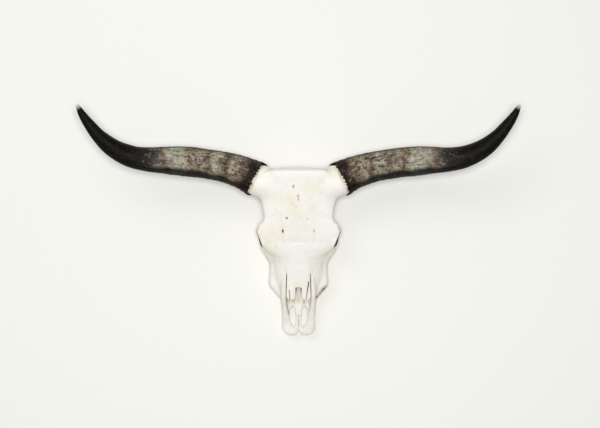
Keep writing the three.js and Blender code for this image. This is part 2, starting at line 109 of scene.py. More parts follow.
INCISIVE_BODY = [
    (0.6, 20, 37, 10, 3.5, 3.5, 2), (6, 22, 37.5, 17.5, 6, 5, 2.4), (20, 25, 38.5, 22, 7, 6, 2.6),
    (38, 30.5, 40, 17, 8, 7, 2.4), (60, 37.5, 46, 10.3, 12, 11, 2), (90, 41.5, 57, 8, 17, 20, 2.2),
    (122, 44, 71, 7, 19, 26, 2.2), (152, 42.5, 88, 5.6, 14, 20, 2), (174, 39, 104, 3.6, 6, 12, 2),
]
PALATINE_PROCESS = [(14, 4.6, 37, 3.1, 3, 3, 2), (44, 4.9, 38, 3.7, 3.2, 3, 2.2), (104, 4.9, 39, 4.4, 3.6, 3, 2.4)]
ALVEOLAR_RIDGE = [
    (64, 38.5, 37, 6, 12, 4, 2), (104, 42, 38, 8, 14, 6, 2), (126, 45, 38, 11, 18, 12, 2), (154, 50, 38, 15, 22, 16, 2),
    (194, 55, 40, 17.5, 26, 18, 2), (234, 58, 42, 18, 28, 20, 2), (258, 57, 46, 17, 28, 22, 2),
    (276, 50, 58, 10, 20, 18, 2),
]
PTERYGOID_PLATE = [
    (258, 34, 56, 10, 26, 14, 2), (286, 27, 66, 4.4, 28, 24, 3), (322, 23, 72, 3.2, 24, 25, 3),
    (364, 17, 78, 5, 8, 10, 2),
]
TEMPORAL_FOSSA = [
    (306, 90, 118, 24, 22, 40, 2.4), (334, 95, 126, 35, 32, 54, 2.6), (366, 99, 131, 36, 34, 64, 2.6),
    (402, 103, 133, 35, 28, 60, 2.6), (436, 109, 133, 26, 8, 18, 2.3),
]
PALATINE_FISSURE = [
    (23, 14, 38, 2, 20, 20, 2), (34, 15.5, 38, 7.5, 20, 20, 2), (56, 17.7, 38, 10.2, 20, 20, 2),
    (76, 17.5, 38, 8.5, 20, 20, 2), (84, 16, 38, 3, 20, 20, 2),
]

# Oval sections square to a path: x, y, z, half-width, half-height.
HORN_CORE = [
    (24, 436, 164, 24, 26), (62, 437, 167, 37, 33), (94, 442, 168, 45, 41), (118, 451, 167, 46, 41),
    (132, 457, 168, 42.5, 38), (150, 465, 170, 39, 35), (162, 470, 171, 28, 25),
]
HORN_SHEATH = [
    (122, 453.5, 168.5, 51, 45), (138, 461.5, 168, 49, 44), (164, 472.5, 171, 46, 43), (213, 486.5, 179, 43, 42),
    (270, 496, 188, 42, 41), (334, 502.5, 200, 41.5, 40), (377, 504.5, 209, 38, 37), (421, 506, 219, 34, 34),
    (466, 513.5, 231, 31, 31), (516, 536, 244, 26, 26), (555, 569, 257, 20, 20), (583, 604, 267.4, 15, 15),
    (601, 631, 275, 10.5, 10.5), (611.5, 652, 280, 5.5, 5.5), (614, 657.6, 281, 2, 2),
]
HORN_ROOT_DIRECTION = (0.894, 0.447)  # the way that the horn leaves the skull, seen from above
HORN_FRONT = 380  # y behind which the horns' roots lie
HORN_AROUND, HORN_ROWS, HORN_INNER_ROWS = 208, 380, 26  # corners in a ring; rings outside, and inside the hollow
CHEEK = [
    (46, 112, 58, 4, 6), (60, 132, 60, 9, 11), (70, 153, 62, 14, 15), (74, 178, 66, 9, 12), (76, 212, 74, 6, 13),
    (87, 238, 80, 8, 18), (102, 258, 79, 7, 15), (109.5, 288, 80, 4, 12), (109, 312, 86, 4.6, 10),
]
CHEEK_ARCH = [
    (107, 304, 84, 5.5, 10), (95, 336, 89, 4.4, 8.5), (91, 362, 93, 4.4, 8.5), (86, 386, 97, 6.5, 9),
    (74, 400, 100, 10, 12), (56, 404, 104, 12, 16),
]
POSTORBITAL_BAR = [(98, 311, 156, 13, 8), (106, 313, 124, 7.5, 4.5), (106, 311, 86, 12, 5)]
NECK_CREST = [
    (-14, 477, 196, 6, 10), (14, 477, 196, 6, 10), (40, 476, 193, 6, 9), (72, 470, 184, 6, 8), (90, 458, 168, 5, 6),
]
EAR_SPIKE = [(44, 398, 60, 6, 9), (42, 389, 56, 4.5, 6), (40, 381, 52, 2.4, 3)]
MASTOID = [(88, 446, 168, 9, 10), (85, 446, 146, 11, 13), (92, 438, 112, 11, 16), (74, 434, 82, 13, 15)]
MASTOID_ROOT = [(40, 440, 106, 18, 30), (90, 438, 106, 13, 24)]
EAR_CANAL = [(54, 414, 90, 13, 14), (94, 406, 102, 8.5, 8.5)]
EAR_HOLE = [(70, 411, 95, 4, 4), (100, 404, 104, 4.6, 4.6)]
BULLA = [(47, 430, 66, 6, 10), (47, 414, 63, 11, 23), (42, 388, 58, 5, 14)]
CONDYLE = [(14, 448, 46, 8, 8), (28, 454, 54, 17, 15), (39, 453, 76, 16, 15), (37, 444, 94, 6, 8)]
JUGULAR_PROCESS = [(68, 436, 96, 17, 15), (68, 439, 62, 12, 14), (63, 440, 30, 8, 11), (55, 434, 0.9, 5, 7.5)]
EYE_SOCKET = [(146, 267, 119, 30, 35), (107, 281, 117, 27, 31), (77, 293, 114, 26, 27), (46, 308, 108, 9, 10)]
MARROW_HOLE = [(0, 490, 76, 19, 18), (0, 446, 80, 19, 18), (0, 428, 88, 26, 25), (0, 404, 96, 12, 12)]
CHEEK_FORAMEN = [(74, 124, 58, 6, 5), (54, 146, 62, 5, 4)]

# Half-width of the two nasal bones together, by y, as the sutures bound them.
NASAL_OUTLINE = ([100, 172, 200, 226, 244, 258, 268, 280], [36.5, 34.5, 32, 27, 19, 9, -1, -14])

NASAL_JOIN = ([150, 195], [2, 9])  # how softly the nasal bones join the rest, by y

# Courses of two sutures: how far the one across the roof bows back, and where the occipital bone begins, by distance
# from the midline.
CRANIAL_BOW = ([0, 30, 36, 53, 70, 92, 112], [-14, -22, -20, -1, -9, 0, 2])
OCCIPITAL_LINE = ([0, 26, 36, 50, 60, 90], [404, 404, 433, 433, 420, 418])
SUTURE_GROOVE = 1.4  # half-width of the groove along a suture

# Slopes in the midline plane, as two points (y, z) each.
NOSE_SLOPE = ((66, 56), (178, 116))
INCISIVE_SUTURE = ((70, 30), (174, 106))
CRANIAL_SUTURE = ((274, 20), (234, 140))
FRONTAL_SUTURE = ((234, 96), (486, 172))

TOOTH_LENGTHS = [16, 18, 18, 24, 28, 29]  # second premolar back to last molar
TOOTH_WIDTHS = [14, 17, 19, 23, 25, 24]
TOOTH_AROUND = 120  # corners in a ring of a tooth
PREMOLARS = 3

# The two kinds of tooth, in shares of half the length: ridges and bulges of the cheek side, middles and reach of the
# cups. Also the cleft's depth, the bend of a cup, the cusps' waves and whether the tooth's middle is high or low.
MOLAR = {
    "ridges": (-0.86, 0.04, 0.86), "bulges": (-0.44, 0.46), "cups": (-0.47, 0.47), "cup_reach": 0.36,
    "cleft": 1, "bend": 1.9, "waves": 2.2, "middle": 1,
}
PREMOLAR = {
    "ridges": (-0.84, 0.0, 0.84), "bulges": (-0.42, 0.44), "cups": (0.0,), "cup_reach": 0.6,
    "cleft": 0, "bend": 1.0, "waves": 1, "middle": -1,
}

ORBIT, ORBIT_TURN = (107.2, 281.5, 117), 0.36  # middle of the bony ring round the eye, and its turn towards the muzzle

ORBIT_LIFT = -0.1  # the ring's turn upwards
ORBIT_OVAL = 0.86  # its length along the skull as a share of its height

# Bumps and holes of the right half, as the middle and radii of ellipsoids.
LUMPS = [
    ((0, 473, 166), (12, 7, 16)), ((11, 404, 47), (7, 11, 5)), ((70, 392, 92), (15, 9, 6)), ((66, 404, 84), (9, 5, 8)),
    ((0, 262, 46), (6, 8, 4)), ((106, 322, 150), (7, 6, 9)), ((72, 156, 60), (10, 12, 10)),
]
HOLES = [
    ((21, 244, 39), (4, 7, 5)), ((43, 440, 60), (4, 5, 4)), ((29, 374, 72), (5, 7, 6)), ((36, 316, 113), (5, 5, 5)),
    ((35, 330, 93), (6, 8, 7)), ((41, 326, 132), (3, 3, 3)), ((99, 256, 118), (5, 4, 5)), ((72, 462, 128), (4, 5, 5)),
    ((104, 252, 100), (5, 3.5, 4)), ((64, 402, 142), (4, 3, 4)), ((70, 388, 152), (3, 3, 3)),
    ((30, 420, 52), (5, 8, 6)),
    ((12, 482, 150), (6, 5, 16)), ((34, 478, 152), (10, 4, 12)), ((58, 352, 118), (7, 10, 9)),
]

# Holes in the forehead, seen from above: x, y, radius across, radius along, depth.
FOREHEAD_PITS = [
    (-14, 430, 2.4, 5.0, 2.6), (-1, 402, 3.0, 5.5, 1.8), (0, 393, 2.2, 2.6, 2.2), (-17, 380, 1.8, 2.2, 2.4),
    (-7, 374, 1.6, 2.0, 2.2),
    (-33, 341, 3.0, 3.2, 3.0), (24, 339, 1.8, 2.6, 1.6), (-64, 260, 2.0, 2.4, 2.0), (-64, 367, 1.5, 1.8, 1.4),
    (-70, 350, 1.6, 1.6, 1.4), (-44.5, 304, 2.4, 5.6, 5.0), (44.5, 304, 1.5, 3.6, 3.2), (-47, 384, 1.4, 1.4, 1.2),
]

# Channels of vessels in the roof and the face, seen from above: points x, y, and the channel's radius.
VESSEL_GROOVES = [
    ([(-45, 296), (-42, 276), (-36, 256)], 1.6), ([(45, 296), (42, 276), (36, 256)], 1.6),
    ([(-45, 312), (-49, 332), (-50, 352)], 1.3), ([(44, 312), (50, 334), (62, 350), (80, 356)], 1.1),
    ([(78, 340), (88, 352), (92, 372), (97, 386)], 1.2), ([(84, 330), (90, 344)], 1.0),
    ([(72, 334), (80, 322), (92, 318), (99, 326)], 0.9), ([(66, 350), (74, 356), (80, 368)], 0.9),
    ([(70, 238), (54, 209), (42, 178)], 1.1), ([(78, 230), (64, 202), (51, 172)], 0.9),
    ([(63, 246), (50, 224), (46, 206)], 0.8),
]

# Slits in the tips of the nasal bones: points x, y seen from above, half-width, lowest and highest z.
NOSE_SLITS = [
    ([(29.5, 158), (28, 146), (23.5, 119), (22.5, 100)], 1.45, 80, 122),
    ([(-27, 133), (-25.5, 118), (-25, 100)], 1.3, 80, 110),
]

MUZZLE_EDGE = ([43, 65, 94, 118, 135], [21, 29, 35, 35, 34.5])  # the premaxillae's inner edge: x by y
CHEEK_EDGE = ((53, 111), (33, 39), 51)  # the right cheek's edge, painted with shade and a reddish-brown stain: its foot, its run and the run's length

# Colours of the sheath's bands, and how much it is mottled, by the share of a length in metres from the root.
HORN_BANDS_REACH = 0.72
HORN_BANDS = [
    (0.0, "#1F1713"), (0.04, "#2B201A"), (0.065, "#715E51"), (0.1, "#A0977F"), (0.13, "#5E4D41"), (0.165, "#AAA590"),
    (0.2, "#6E5B4D"), (0.235, "#8F8674"), (0.275, "#75634F"), (0.295, "#AAA794"), (0.345, "#A3A08F"),
    (0.375, "#6A5949"), (0.4, "#504E4C"), (0.43, "#2E2A27"), (0.49, "#15110F"), (0.56, "#0D0A08"), (1.0, "#090706"),
]
HORN_WEAR = [(0.04, 0.25), (0.075, 0.95), (0.27, 0.9), (0.33, 0.75), (0.42, 0.5), (0.5, 0.06), (1.0, 0.02)]
HORN_PATTERNS = [  # streaks, mottles and fibres: length, width, detail and roughness
    (45, 4, 5.0, 0.6), (12, 9, 7.0, 0.74), (20, 1.2, 4.0, 0.5),
]

# ---- The stage, in metres ----
FLOOR_CORNERS, FLOOR_REACH = 9, 9.0
ROOM_COLOUR, ROOM_LIGHT = "#FBFBFA", 0.31
LAMPS = [  # name, place, size and watts
    ("overhead_softbox", (0.0, 0.1, 5.3), 0.9, 176.0), ("key_softbox", (-1.6, 1.9, 4.4), 2.4, 36.0),
]
LAMP_TARGET = (0, 0.05, 0.1)
CAMERA_PLACE = (0.0043, 0.0236, 4.9)
LENS = (100, 36, 60)  # focal length and sensor's width in millimetres, and the furthest metre that is seen


# ---- Sizes and colours ----
def length(name, description, mm):
    """A length property, with its default in millimetres."""
    return bpy.props.FloatProperty(name=name, description=description, default=mm * MM, unit="LENGTH")


def hex_colour(name, description, default):
    """A colour property, written as sRGB hex."""
    return bpy.props.StringProperty(name=name, description=f"{description}, sRGB hex", default=default)


class SkullSizes(bpy.types.PropertyGroup):
    cell: length("Cell", "Spacing of the bones' fields", 1.25)
    orbit_radius: length("Eye socket radius", "Middle of the bony ring round an eye", 32.5)
    orbit_rim: length("Eye socket rim", "Radius of the bony ring's section", 4.4)
    suture_wander: length("Suture wander", "How far a suture strays from its plane", 1.6)
    nose_gap: length("Nose gap", "Open gap between a nasal bone and its neighbours", 3.3)
    swell: length("Swell", "Height of the broad unevenness of the bone", 0.9)
    grain: length("Grain", "Height of the fine unevenness of the bone", 0.3)
    vomer_wave: length("Vomer wave", "How far the vomer's trough bends sideways", 0.5)


class ToothSizes(bpy.types.PropertyGroup):
    root: length("Root", "Height of the crowns' upper ends above the ground", 34)
    row_start: length("Row start", "Front of the first tooth behind the muzzle's tip", 126)
    near: length("Front spread", "Distance of the front tooth from the midline", 42)
    far: length("Rear spread", "Distance of the rear tooth from the midline", 57)
    wear: length("Wear", "How far the dentine is worn below the enamel", 1.1)


class HornSizes(bpy.types.PropertyGroup):
    wall: length("Wall", "Thickness of the sheath at its rim", 2.4)
    rim_depth: length("Rim depth", "How far the sheath is hollow from its rim", 44)
    rag: length("Rag", "How far the rim's torn edge strays", 3.0)
    ring_height: length("Ring height", "Height of the growth rings", 0.45)
    ridge_height: length("Ridge height", "Height of the lengthwise fibres", 0.22)


class SkullColours(bpy.types.PropertyGroup):
    bone: hex_colour("Bone", "Bleached bone", "#F2F0E9")
    bone_warm: hex_colour("Warm bone", "Bone with fat left in it", "#EEE8D3")
    bone_fleck: hex_colour("Fleck", "Small flecks of fat", "#D9CDAA")
    # painted shade for the bone's hollows, a soil brown
    bone_hollow_shade: hex_colour("Dirt", "Soil in the hollows", "#8F7F62")
    # yellow-brown stain, also used as painted shade along the right cheek's edge
    bone_stain_and_shade: hex_colour("Stain", "Yellow-brown stain in the nose, at the horns and on the cheek", "#AC8A49")
    # painted shade for the eye sockets' lower lips, the pits, the slits and the nose, a dark soil brown
    painted_shade: hex_colour("Soil", "Dark soil in the eye sockets, pits and slits", "#463C31")
    # painted shade, near black, for the horn's edge on the muzzle's side
    horn_edge_shade: hex_colour("Black horn", "Darkest keratin", "#0A0806")
    # brown keratin, also painted shade along the horn's back edge
    horn_brown_and_back_shade: hex_colour("Brown horn", "Brown keratin", "#35281F")
    horn_pale: hex_colour("Pale horn", "Bleached keratin", "#C3BEAC")
    horn_tip: hex_colour("Horn tip", "Worn end of the sheath", "#CFCBC0")
    enamel: hex_colour("Enamel", "Cream enamel", "#EFE9D8")
    dentine: hex_colour("Dentine", "Tan dentine between the enamel folds", "#CBB78D")
    cement: hex_colour("Cement", "Cement towards the gum", "#C6B48C")
    tartar: hex_colour("Tartar", "Streaks on the crowns", "#B29A70")
    cup: hex_colour("Cup", "Stain in the cups and clefts", "#4A3725")
    floor: hex_colour("Floor", "Matt paper", "#F2F2ED")


# ---- Numbers and fields ----
def ramp(value, width):
    """Climbs straight from 0 to 1 while the value goes from 0 to the width."""
    return np.clip(value / width, 0, 1)


def bell(value, width):
    """A bell curve, 1 high, that falls to 1 / e at the width."""
    return np.exp(-((value / width) ** 2))


def curve(knots, values, at):
    """A smooth line through values at the knots: cubic pieces whose slope at a knot is that of the line between the
    knots on its two sides."""
    knots, values = np.asarray(knots, float), np.asarray(values, float)
    spans = np.diff(knots)[:, None]
    slopes = np.diff(values, axis=0) / spans
    steep = np.concatenate([slopes[:1], (values[2:] - values[:-2]) / (spans[:-1] + spans[1:]), slopes[-1:]])
    i = np.clip(np.searchsorted(knots, at, "right") - 1, 0, len(spans) - 1)
    h = spans[i]
    t = (np.asarray(at)[:, None] - knots[i][:, None]) / h
    return (
        (2 * t**3 - 3 * t**2 + 1) * values[i] + (t**3 - 2 * t**2 + t) * h * steep[i]
        + (3 * t**2 - 2 * t**3) * values[i + 1] + (t**3 - t**2) * h * steep[i + 1]
    )


def roof(y):
    """Height of the skull's roof on the midline, straight between the profile's points."""
    return np.interp(y, *zip(*ROOF))


def along_horn(side, y):
    """Distance out along the horn from the sheath's first station, straight on in the direction of its root."""
    (start_x, start_y), (out_x, out_y) = HORN_SHEATH[0][:2], HORN_ROOT_DIRECTION
    return (side - start_x) * out_x + (y - start_y) * out_y


def squared(value, n):
    """A sine or cosine raised to 2 / n, which turns a circle into a superellipse."""
    return np.sign(value) * np.abs(value) ** (2 / n)


def across(stations, lift=1.0, around=56, step=2.0):
    """Rings of a form with sections across the skull. In a ring, x follows the cosine and z the sine of the angle,
    both squared; width, rise, drop and squareness follow smooth curves along y. Sections without a height hang from
    the roof, a little above it."""
    rows = [(x, roof(y) + lift - up if z is None else z, w, up, down, n) for y, x, z, w, up, down, n in stations]
    ends = [station[0] for station in stations]
    y = np.linspace(ends[0], ends[-1], max(4, int((ends[-1] - ends[0]) / step)))
    x, z, w, up, down, n = curve(ends, rows, y).T[:, :, None]
    angle = np.linspace(0, 2 * np.pi, around, endpoint=False)[None]
    rise = np.where(np.sin(angle) > 0, up, down)
    ring_x = x + w * squared(np.cos(angle), n)
    ring_z = z + rise * squared(np.sin(angle), n)
    return np.stack([ring_x, np.broadcast_to(y[:, None], ring_x.shape), ring_z], -1)


def path_frames(stations, reference, step, flat_end=False):
    """Lengths, points, tangents, sideways and upward directions and sizes along a smooth path through the stations."""
    rows = np.asarray(stations, float)
    reach = np.concatenate([[0], np.cumsum(np.linalg.norm(np.diff(rows[:, :3], axis=0), axis=1))])
    at = np.linspace(0, reach[-1], max(5, int(reach[-1] / step)))
    smooth = curve(reach, rows, at)
    points, sizes = smooth[:, :3], smooth[:, 3:]
    tangent = np.gradient(points, axis=0)
    tangent /= np.linalg.norm(tangent, axis=1, keepdims=True)
    if flat_end:
        tangent[-1] = (0, 0, -1)
    side = np.cross(tangent, reference)
    side /= np.linalg.norm(side, axis=1, keepdims=True)
    return at, points, tangent, side, np.cross(side, tangent), sizes


def along(stations, reference=(0, 0, 1), around=40, step=2.0, flat_end=False):
    """Rings of a form whose oval sections stand square to its path: centre, plus half-width times the cosine sideways,
    plus half-height times the sine upwards."""
    _, points, _, side, up, sizes = path_frames(stations, reference, step, flat_end)
    angle = np.linspace(0, 2 * np.pi, around, endpoint=False)[None, :, None]
    w, h = sizes[:, 0][:, None, None], sizes[:, 1][:, None, None]
    return points[:, None] + w * np.cos(angle) * side[:, None] + h * np.sin(angle) * up[:, None]


def with_ends(rings):
    """The rings' corners in one row, and after them the middles of the first and the last ring."""
    return np.concatenate([rings.reshape(-1, 3), rings[:1].mean(1), rings[-1:].mean(1)])


def closed_tube(rings):
    """Corners, quads and triangles of a tube of rings: quads between neighbouring rings, and a fan over each end."""
    rows, around = rings.shape[:2]
    i, j = np.arange(rows - 1)[:, None] * around, np.arange(around)[None]
    k = (j + 1) % around
    quads = np.stack([i + j, i + k, i + around + k, i + around + j], -1).reshape(-1, 4)
    j, k = j[0], k[0]
    first, last, foot = rows * around, rows * around + 1, (rows - 1) * around
    caps = [np.stack([k, j, np.full(around, first)], -1), np.stack([foot + j, foot + k, np.full(around, last)], -1)]
    return with_ends(rings), quads, np.concatenate(caps)


def torus(centre, radius, rim, turn, lift, around=64, section=24):
    """An uneven ring round an axis that points sideways, turned forwards and a little up: the radius plus the rim's
    cosine outwards, and the rim's sine along the axis. The rim is thickest above and behind."""
    u = np.linspace(0, 2 * np.pi, around, endpoint=False)[:, None]
    v = np.linspace(0, 2 * np.pi, section, endpoint=False)[None]
    thick = rim * (1 + 0.25 * np.sin(u + 0.5))
    out = radius * (1 + 0.035 * np.cos(2 * u + 0.5) + 0.02 * np.sin(3 * u)) + thick * np.cos(v)
    local = np.stack([thick * np.sin(v), (ORBIT_OVAL * out) * np.cos(u), out * np.sin(u)], -1)
    ct, st, cl, sl = np.cos(turn), np.sin(turn), np.cos(lift), np.sin(lift)
    lifted = local @ np.array([[cl, 0, -sl], [0, 1, 0], [sl, 0, cl]])
    turned = lifted @ np.array([[ct, st, 0], [-st, ct, 0], [0, 0, 1]]).T
    i, j = np.arange(around)[:, None] * section, np.arange(section)[None]
    ni, nj = (np.arange(around)[:, None] + 1) % around * section, (j + 1) % section
    quads = np.stack([i + j, ni + j, ni + nj, i + nj], -1).reshape(-1, 4)
    return turned.reshape(-1, 3) + centre, quads, None


def soft_min(a, b, k):
    """The lower of two distances, rounded off where they differ by less than k."""
    if np.ndim(k) == 0 and k <= 0:
        return np.minimum(a, b)
    near = np.clip(k - np.abs(a - b), 0, None)
    return np.minimum(a, b) - near * near / (4 * k)


def spread(coarse, shape):
    """Stretches a small grid of numbers over a large one, smoothly along each side in turn, by the four weights of a
    cubic B-spline."""
    for axis, count in enumerate(shape):
        n = coarse.shape[axis]
        at = np.linspace(1, n - 2.001, count)
        i = at.astype(int)
        t = at - i
        cubic = ((1 - t) ** 3 / 6, (3 * t**3 - 6 * t**2 + 4) / 6, (-3 * t**3 + 3 * t**2 + 3 * t + 1) / 6, t**3 / 6)
        weights = np.zeros((count, n), np.float32)
        for offset, part in enumerate(cubic):
            weights[np.arange(count), i + offset - 1] += part
        coarse = np.moveaxis(np.tensordot(weights, coarse, (1, axis)), 0, axis)
    return coarse


class Field:
    """Distances d to the bone's surface on a grid, negative inside, in millimetres. first is the grid's first cell."""

    def __init__(self, cell, first, d):
        self.cell, self.first, self.d, self.shape = cell, first, d, d.shape

    def axes(self, part=None):
        """x, y and z of the cells, shaped to fit the grid or a part of it."""
        part = part or tuple(slice(0, n) for n in self.shape)
        lines = [(np.arange(s.start, s.stop) + f) * self.cell for s, f in zip(part, self.first)]
        return lines[0][:, None, None], lines[1][None, :, None], lines[2][None, None, :]

    def part_round(self, low, high):
        """The part of the grid that holds a box."""
        start = np.clip(np.floor(np.asarray(low) / self.cell).astype(int) - self.first, 0, self.shape)
        stop = np.clip(np.ceil(np.asarray(high) / self.cell).astype(int) - self.first + 1, 0, self.shape)
        return tuple(slice(int(a), int(b)) for a, b in zip(start, stop))

    def join(self, part, distance, k):
        """Joins a form to the bone: the lower of the two distances, rounded off."""
        self.d[part] = soft_min(self.d[part], distance, k)

    def carve(self, part, distance, k):
        """Cuts a form out of the bone: the lower of the form's distance and the bone's turned over, rounded off, and
        turned over again."""
        self.d[part] = -soft_min(-self.d[part], distance, k)

    def form(self, shape):
        """The field of a closed form, and the part of the grid that it covers."""
        corners, quads, triangles = closed_tube(shape) if isinstance(shape, np.ndarray) else shape
        grid = vdb.FloatGrid.createLevelSetFromPolygons(
            corners.astype(np.float32), triangles=None if triangles is None else triangles.astype(np.uint32),
            quads=quads.astype(np.uint32), transform=vdb.createLinearTransform(voxelSize=self.cell),
            halfWidth=float(BAND),
        )
        reach = BAND * self.cell
        part = self.part_round(corners.min(0) - reach, corners.max(0) + reach)
        distance = np.full([s.stop - s.start for s in part], reach, np.float32)
        grid.copyToArray(distance, ijk=tuple(int(f + s.start) for f, s in zip(self.first, part)))
        return part, distance

    def add(self, shape, k):
        self.join(*self.form(shape), k)

    def cut(self, shape, k):
        self.carve(*self.form(shape), k)

    def ellipsoid(self, centre, radii, reach):
        """Field of an ellipsoid: the length of the offset over the radii, less 1, times the least radius."""
        centre, radii = np.asarray(centre, float), np.asarray(radii, float)
        part = self.part_round(centre - radii - reach, centre + radii + reach)
        ratio = np.sqrt(sum(((v - c) / r) ** 2 for v, c, r in zip(self.axes(part), centre, radii)))
        return part, ((ratio - 1) * radii.min()).astype(np.float32)

    def dent(self, centre, radii, k=0.8):
        self.carve(*self.ellipsoid(centre, radii, 3), k)

    def lump(self, centre, radii, k=5.0):
        self.join(*self.ellipsoid(centre, radii, 10), k)

    def slit(self, points, radius, low, high, k=0.8):
        """Cuts upright through the bone along a line seen from above, between two heights."""
        for (ax, ay), (bx, by) in zip(points[:-1], points[1:]):
            part = self.part_round((min(ax, bx) - 4, min(ay, by) - 4, low), (max(ax, bx) + 4, max(ay, by) + 4, high))
            x, y, _ = self.axes(part)
            t = np.clip(((x - ax) * (bx - ax) + (y - ay) * (by - ay)) / ((bx - ax) ** 2 + (by - ay) ** 2), 0, 1)
            gap = np.sqrt((x - ax - t * (bx - ax)) ** 2 + (y - ay - t * (by - ay)) ** 2) - radius
            self.carve(part, np.broadcast_to(gap, self.d[part].shape).astype(np.float32), k)

    def groove(self, points, radius, k=0.8):
        """Cuts a round channel along a line of points: its field is the distance to the nearest stretch, less the
        radius."""
        for a, b in zip(np.array(points[:-1], float), np.array(points[1:], float)):
            part = self.part_round(np.minimum(a, b) - radius - 3, np.maximum(a, b) + radius + 3)
            offsets, run = [v - start for v, start in zip(self.axes(part), a)], b - a
            t = np.clip(sum(v * r for v, r in zip(offsets, run)) / (run @ run), 0, 1)
            gap = np.sqrt(sum((v - t * r) ** 2 for v, r in zip(offsets, run)))
            self.carve(part, (gap - radius).astype(np.float32), k)

    def top(self, x, y):
        """Height of the highest bone at a place seen from above."""
        i, j = (int(round(v / self.cell)) - f for v, f in zip((x, y), self.first))
        column = self.d[i, j]
        k = len(column) - 1 - int(np.argmax(column[::-1] < 0))
        return (k + self.first[2] + column[k] / (column[k] - column[k + 1])) * self.cell

    def soften(self, times):
        """Averages each cell with its neighbours, which rounds sharp edges."""
        for _ in range(times):
            for axis in range(3):
                d = np.moveaxis(self.d, axis, 0)
                d[1:-1] = 0.25 * (d[:-2] + d[2:]) + 0.5 * d[1:-1]

    def noise(self, size, seed):
        """Smooth noise with bumps of about the given size, roughly between -1 and 1."""
        counts = [int(n * self.cell / size) + 5 for n in self.shape]
        rough = np.random.default_rng(seed).uniform(-1.6, 1.6, counts).astype(np.float32)
        return spread(rough, self.shape)

    def sample(self, points):
        """Distances at points, straight between cells."""
        at = points / self.cell - self.first
        base = np.clip(at.astype(int), 0, np.array(self.shape) - 2)
        t = np.clip(at - base, 0, 1).astype(np.float32)
        total = np.zeros(len(points), np.float32)
        for corner in np.ndindex(2, 2, 2):
            weight = np.prod(np.where(corner, t, 1 - t), axis=1)
            i, j, k = (base + corner).T
            total += weight * self.d[i, j, k]
        return total


def empty_field(cell):
    """The field of the right half of the skull's box, with no bone in it yet."""
    first = np.floor(np.asarray(LOW) / cell).astype(int)
    shape = np.ceil(np.asarray(HIGH) / cell).astype(int) - first
    return Field(cell, first, np.full(shape, BAND * cell, np.float32))


def slope_field(line, y, z):
    """Distance from a sloped line in the midline plane, positive towards the nose's tip and the roof."""
    (y0, z0), (y1, z1) = line
    normal = np.array([z0 - z1, y1 - y0], float) / np.hypot(z1 - z0, y1 - y0)
    if normal[1] < 0 < normal[0]:
        normal = -normal
    return (y - y0) * normal[0] + (z - z0) * normal[1]


# ---- Meshes ----
def signed_volume(corners, quads):
    """Volume between the quads and the origin, negative where they face inwards."""
    a, b, c, d = (corners[quads[:, i]] for i in range(4))
    return float(np.einsum("ij,ij->i", a, np.cross(b, c)).sum() + np.einsum("ij,ij->i", a, np.cross(c, d)).sum()) / 6


def mesh_object(name, material, corners, quads, triangles=None, values=None):
    """Makes an object of a whole mesh at once. values are numbers or vectors for its corners, by attribute name."""
    faces = [quads] if triangles is None else [quads, triangles]
    if signed_volume(corners, quads) < 0:
        faces = [f[:, ::-1] for f in faces]
    sizes = np.concatenate([np.full(len(f), f.shape[1]) for f in faces])
    loops = np.concatenate([f.ravel() for f in faces])
    mesh = bpy.data.meshes.new(name)
    mesh.vertices.add(len(corners))
    mesh.vertices.foreach_set("co", np.ascontiguousarray(corners, np.float32).ravel())
    mesh.loops.add(len(loops))
    mesh.loops.foreach_set("vertex_index", loops.astype(np.int32))
    mesh.polygons.add(len(sizes))
    mesh.polygons.foreach_set("loop_start", np.concatenate([[0], np.cumsum(sizes)[:-1]]).astype(np.int32))
    mesh.polygons.foreach_set("use_smooth", np.ones(len(sizes), bool))
    mesh.update(calc_edges=True)
    mesh.validate()
    for key, data in (values or {}).items():
        data = np.ascontiguousarray(data, np.float32)
        kind, slot = ("FLOAT_VECTOR", "vector") if data.ndim == 2 else ("FLOAT", "value")
        mesh.attributes.new(key, kind, "POINT").data.foreach_set(slot, data.ravel())
    mesh.materials.append(material)
    piece = bpy.data.objects.new(name, mesh)
    bpy.context.scene.collection.objects.link(piece)
    return piece


def to_world(points):
    """Metres in the model's frame from millimetres behind the muzzle's tip."""
    return (points - np.array([0, MIDDLE, 0])) * MM


def main_shell(corners, quads):
    """Leaves out all but the largest separate shell. Each corner takes the lowest number among its neighbours, and
    then its neighbour's own, until none changes."""
    edges = np.concatenate([quads[:, [i, (i + 1) % 4]] for i in range(4)])
    label = np.arange(len(corners))
    while True:
        low = np.minimum(label[edges[:, 0]], label[edges[:, 1]])
        lower = label.copy()
        np.minimum.at(lower, edges[:, 0], low)
        np.minimum.at(lower, edges[:, 1], low)
        lower = lower[lower]
        if np.array_equal(lower, label):
            break
        label = lower
    names, counts = np.unique(label, return_counts=True)
    keep = label == names[counts.argmax()]
    renumber = np.cumsum(keep) - 1
    return corners[keep], renumber[quads[keep[quads[:, 0]]]]


# ---- Materials ----
AMOUNT, BELOW, ABOVE, MIXED = 0, 6, 7, 2  # a Mix node's inputs for colours, and its output


def linear(code):
    """Linear light of an sRGB hex colour."""
    srgb = np.array([int(code[i : i + 2], 16) for i in (1, 3, 5)]) / 255
    light = np.where(srgb <= 0.04045, srgb / 12.92, ((srgb + 0.055) / 1.055) ** 2.4)
    return (*light.tolist(), 1.0)


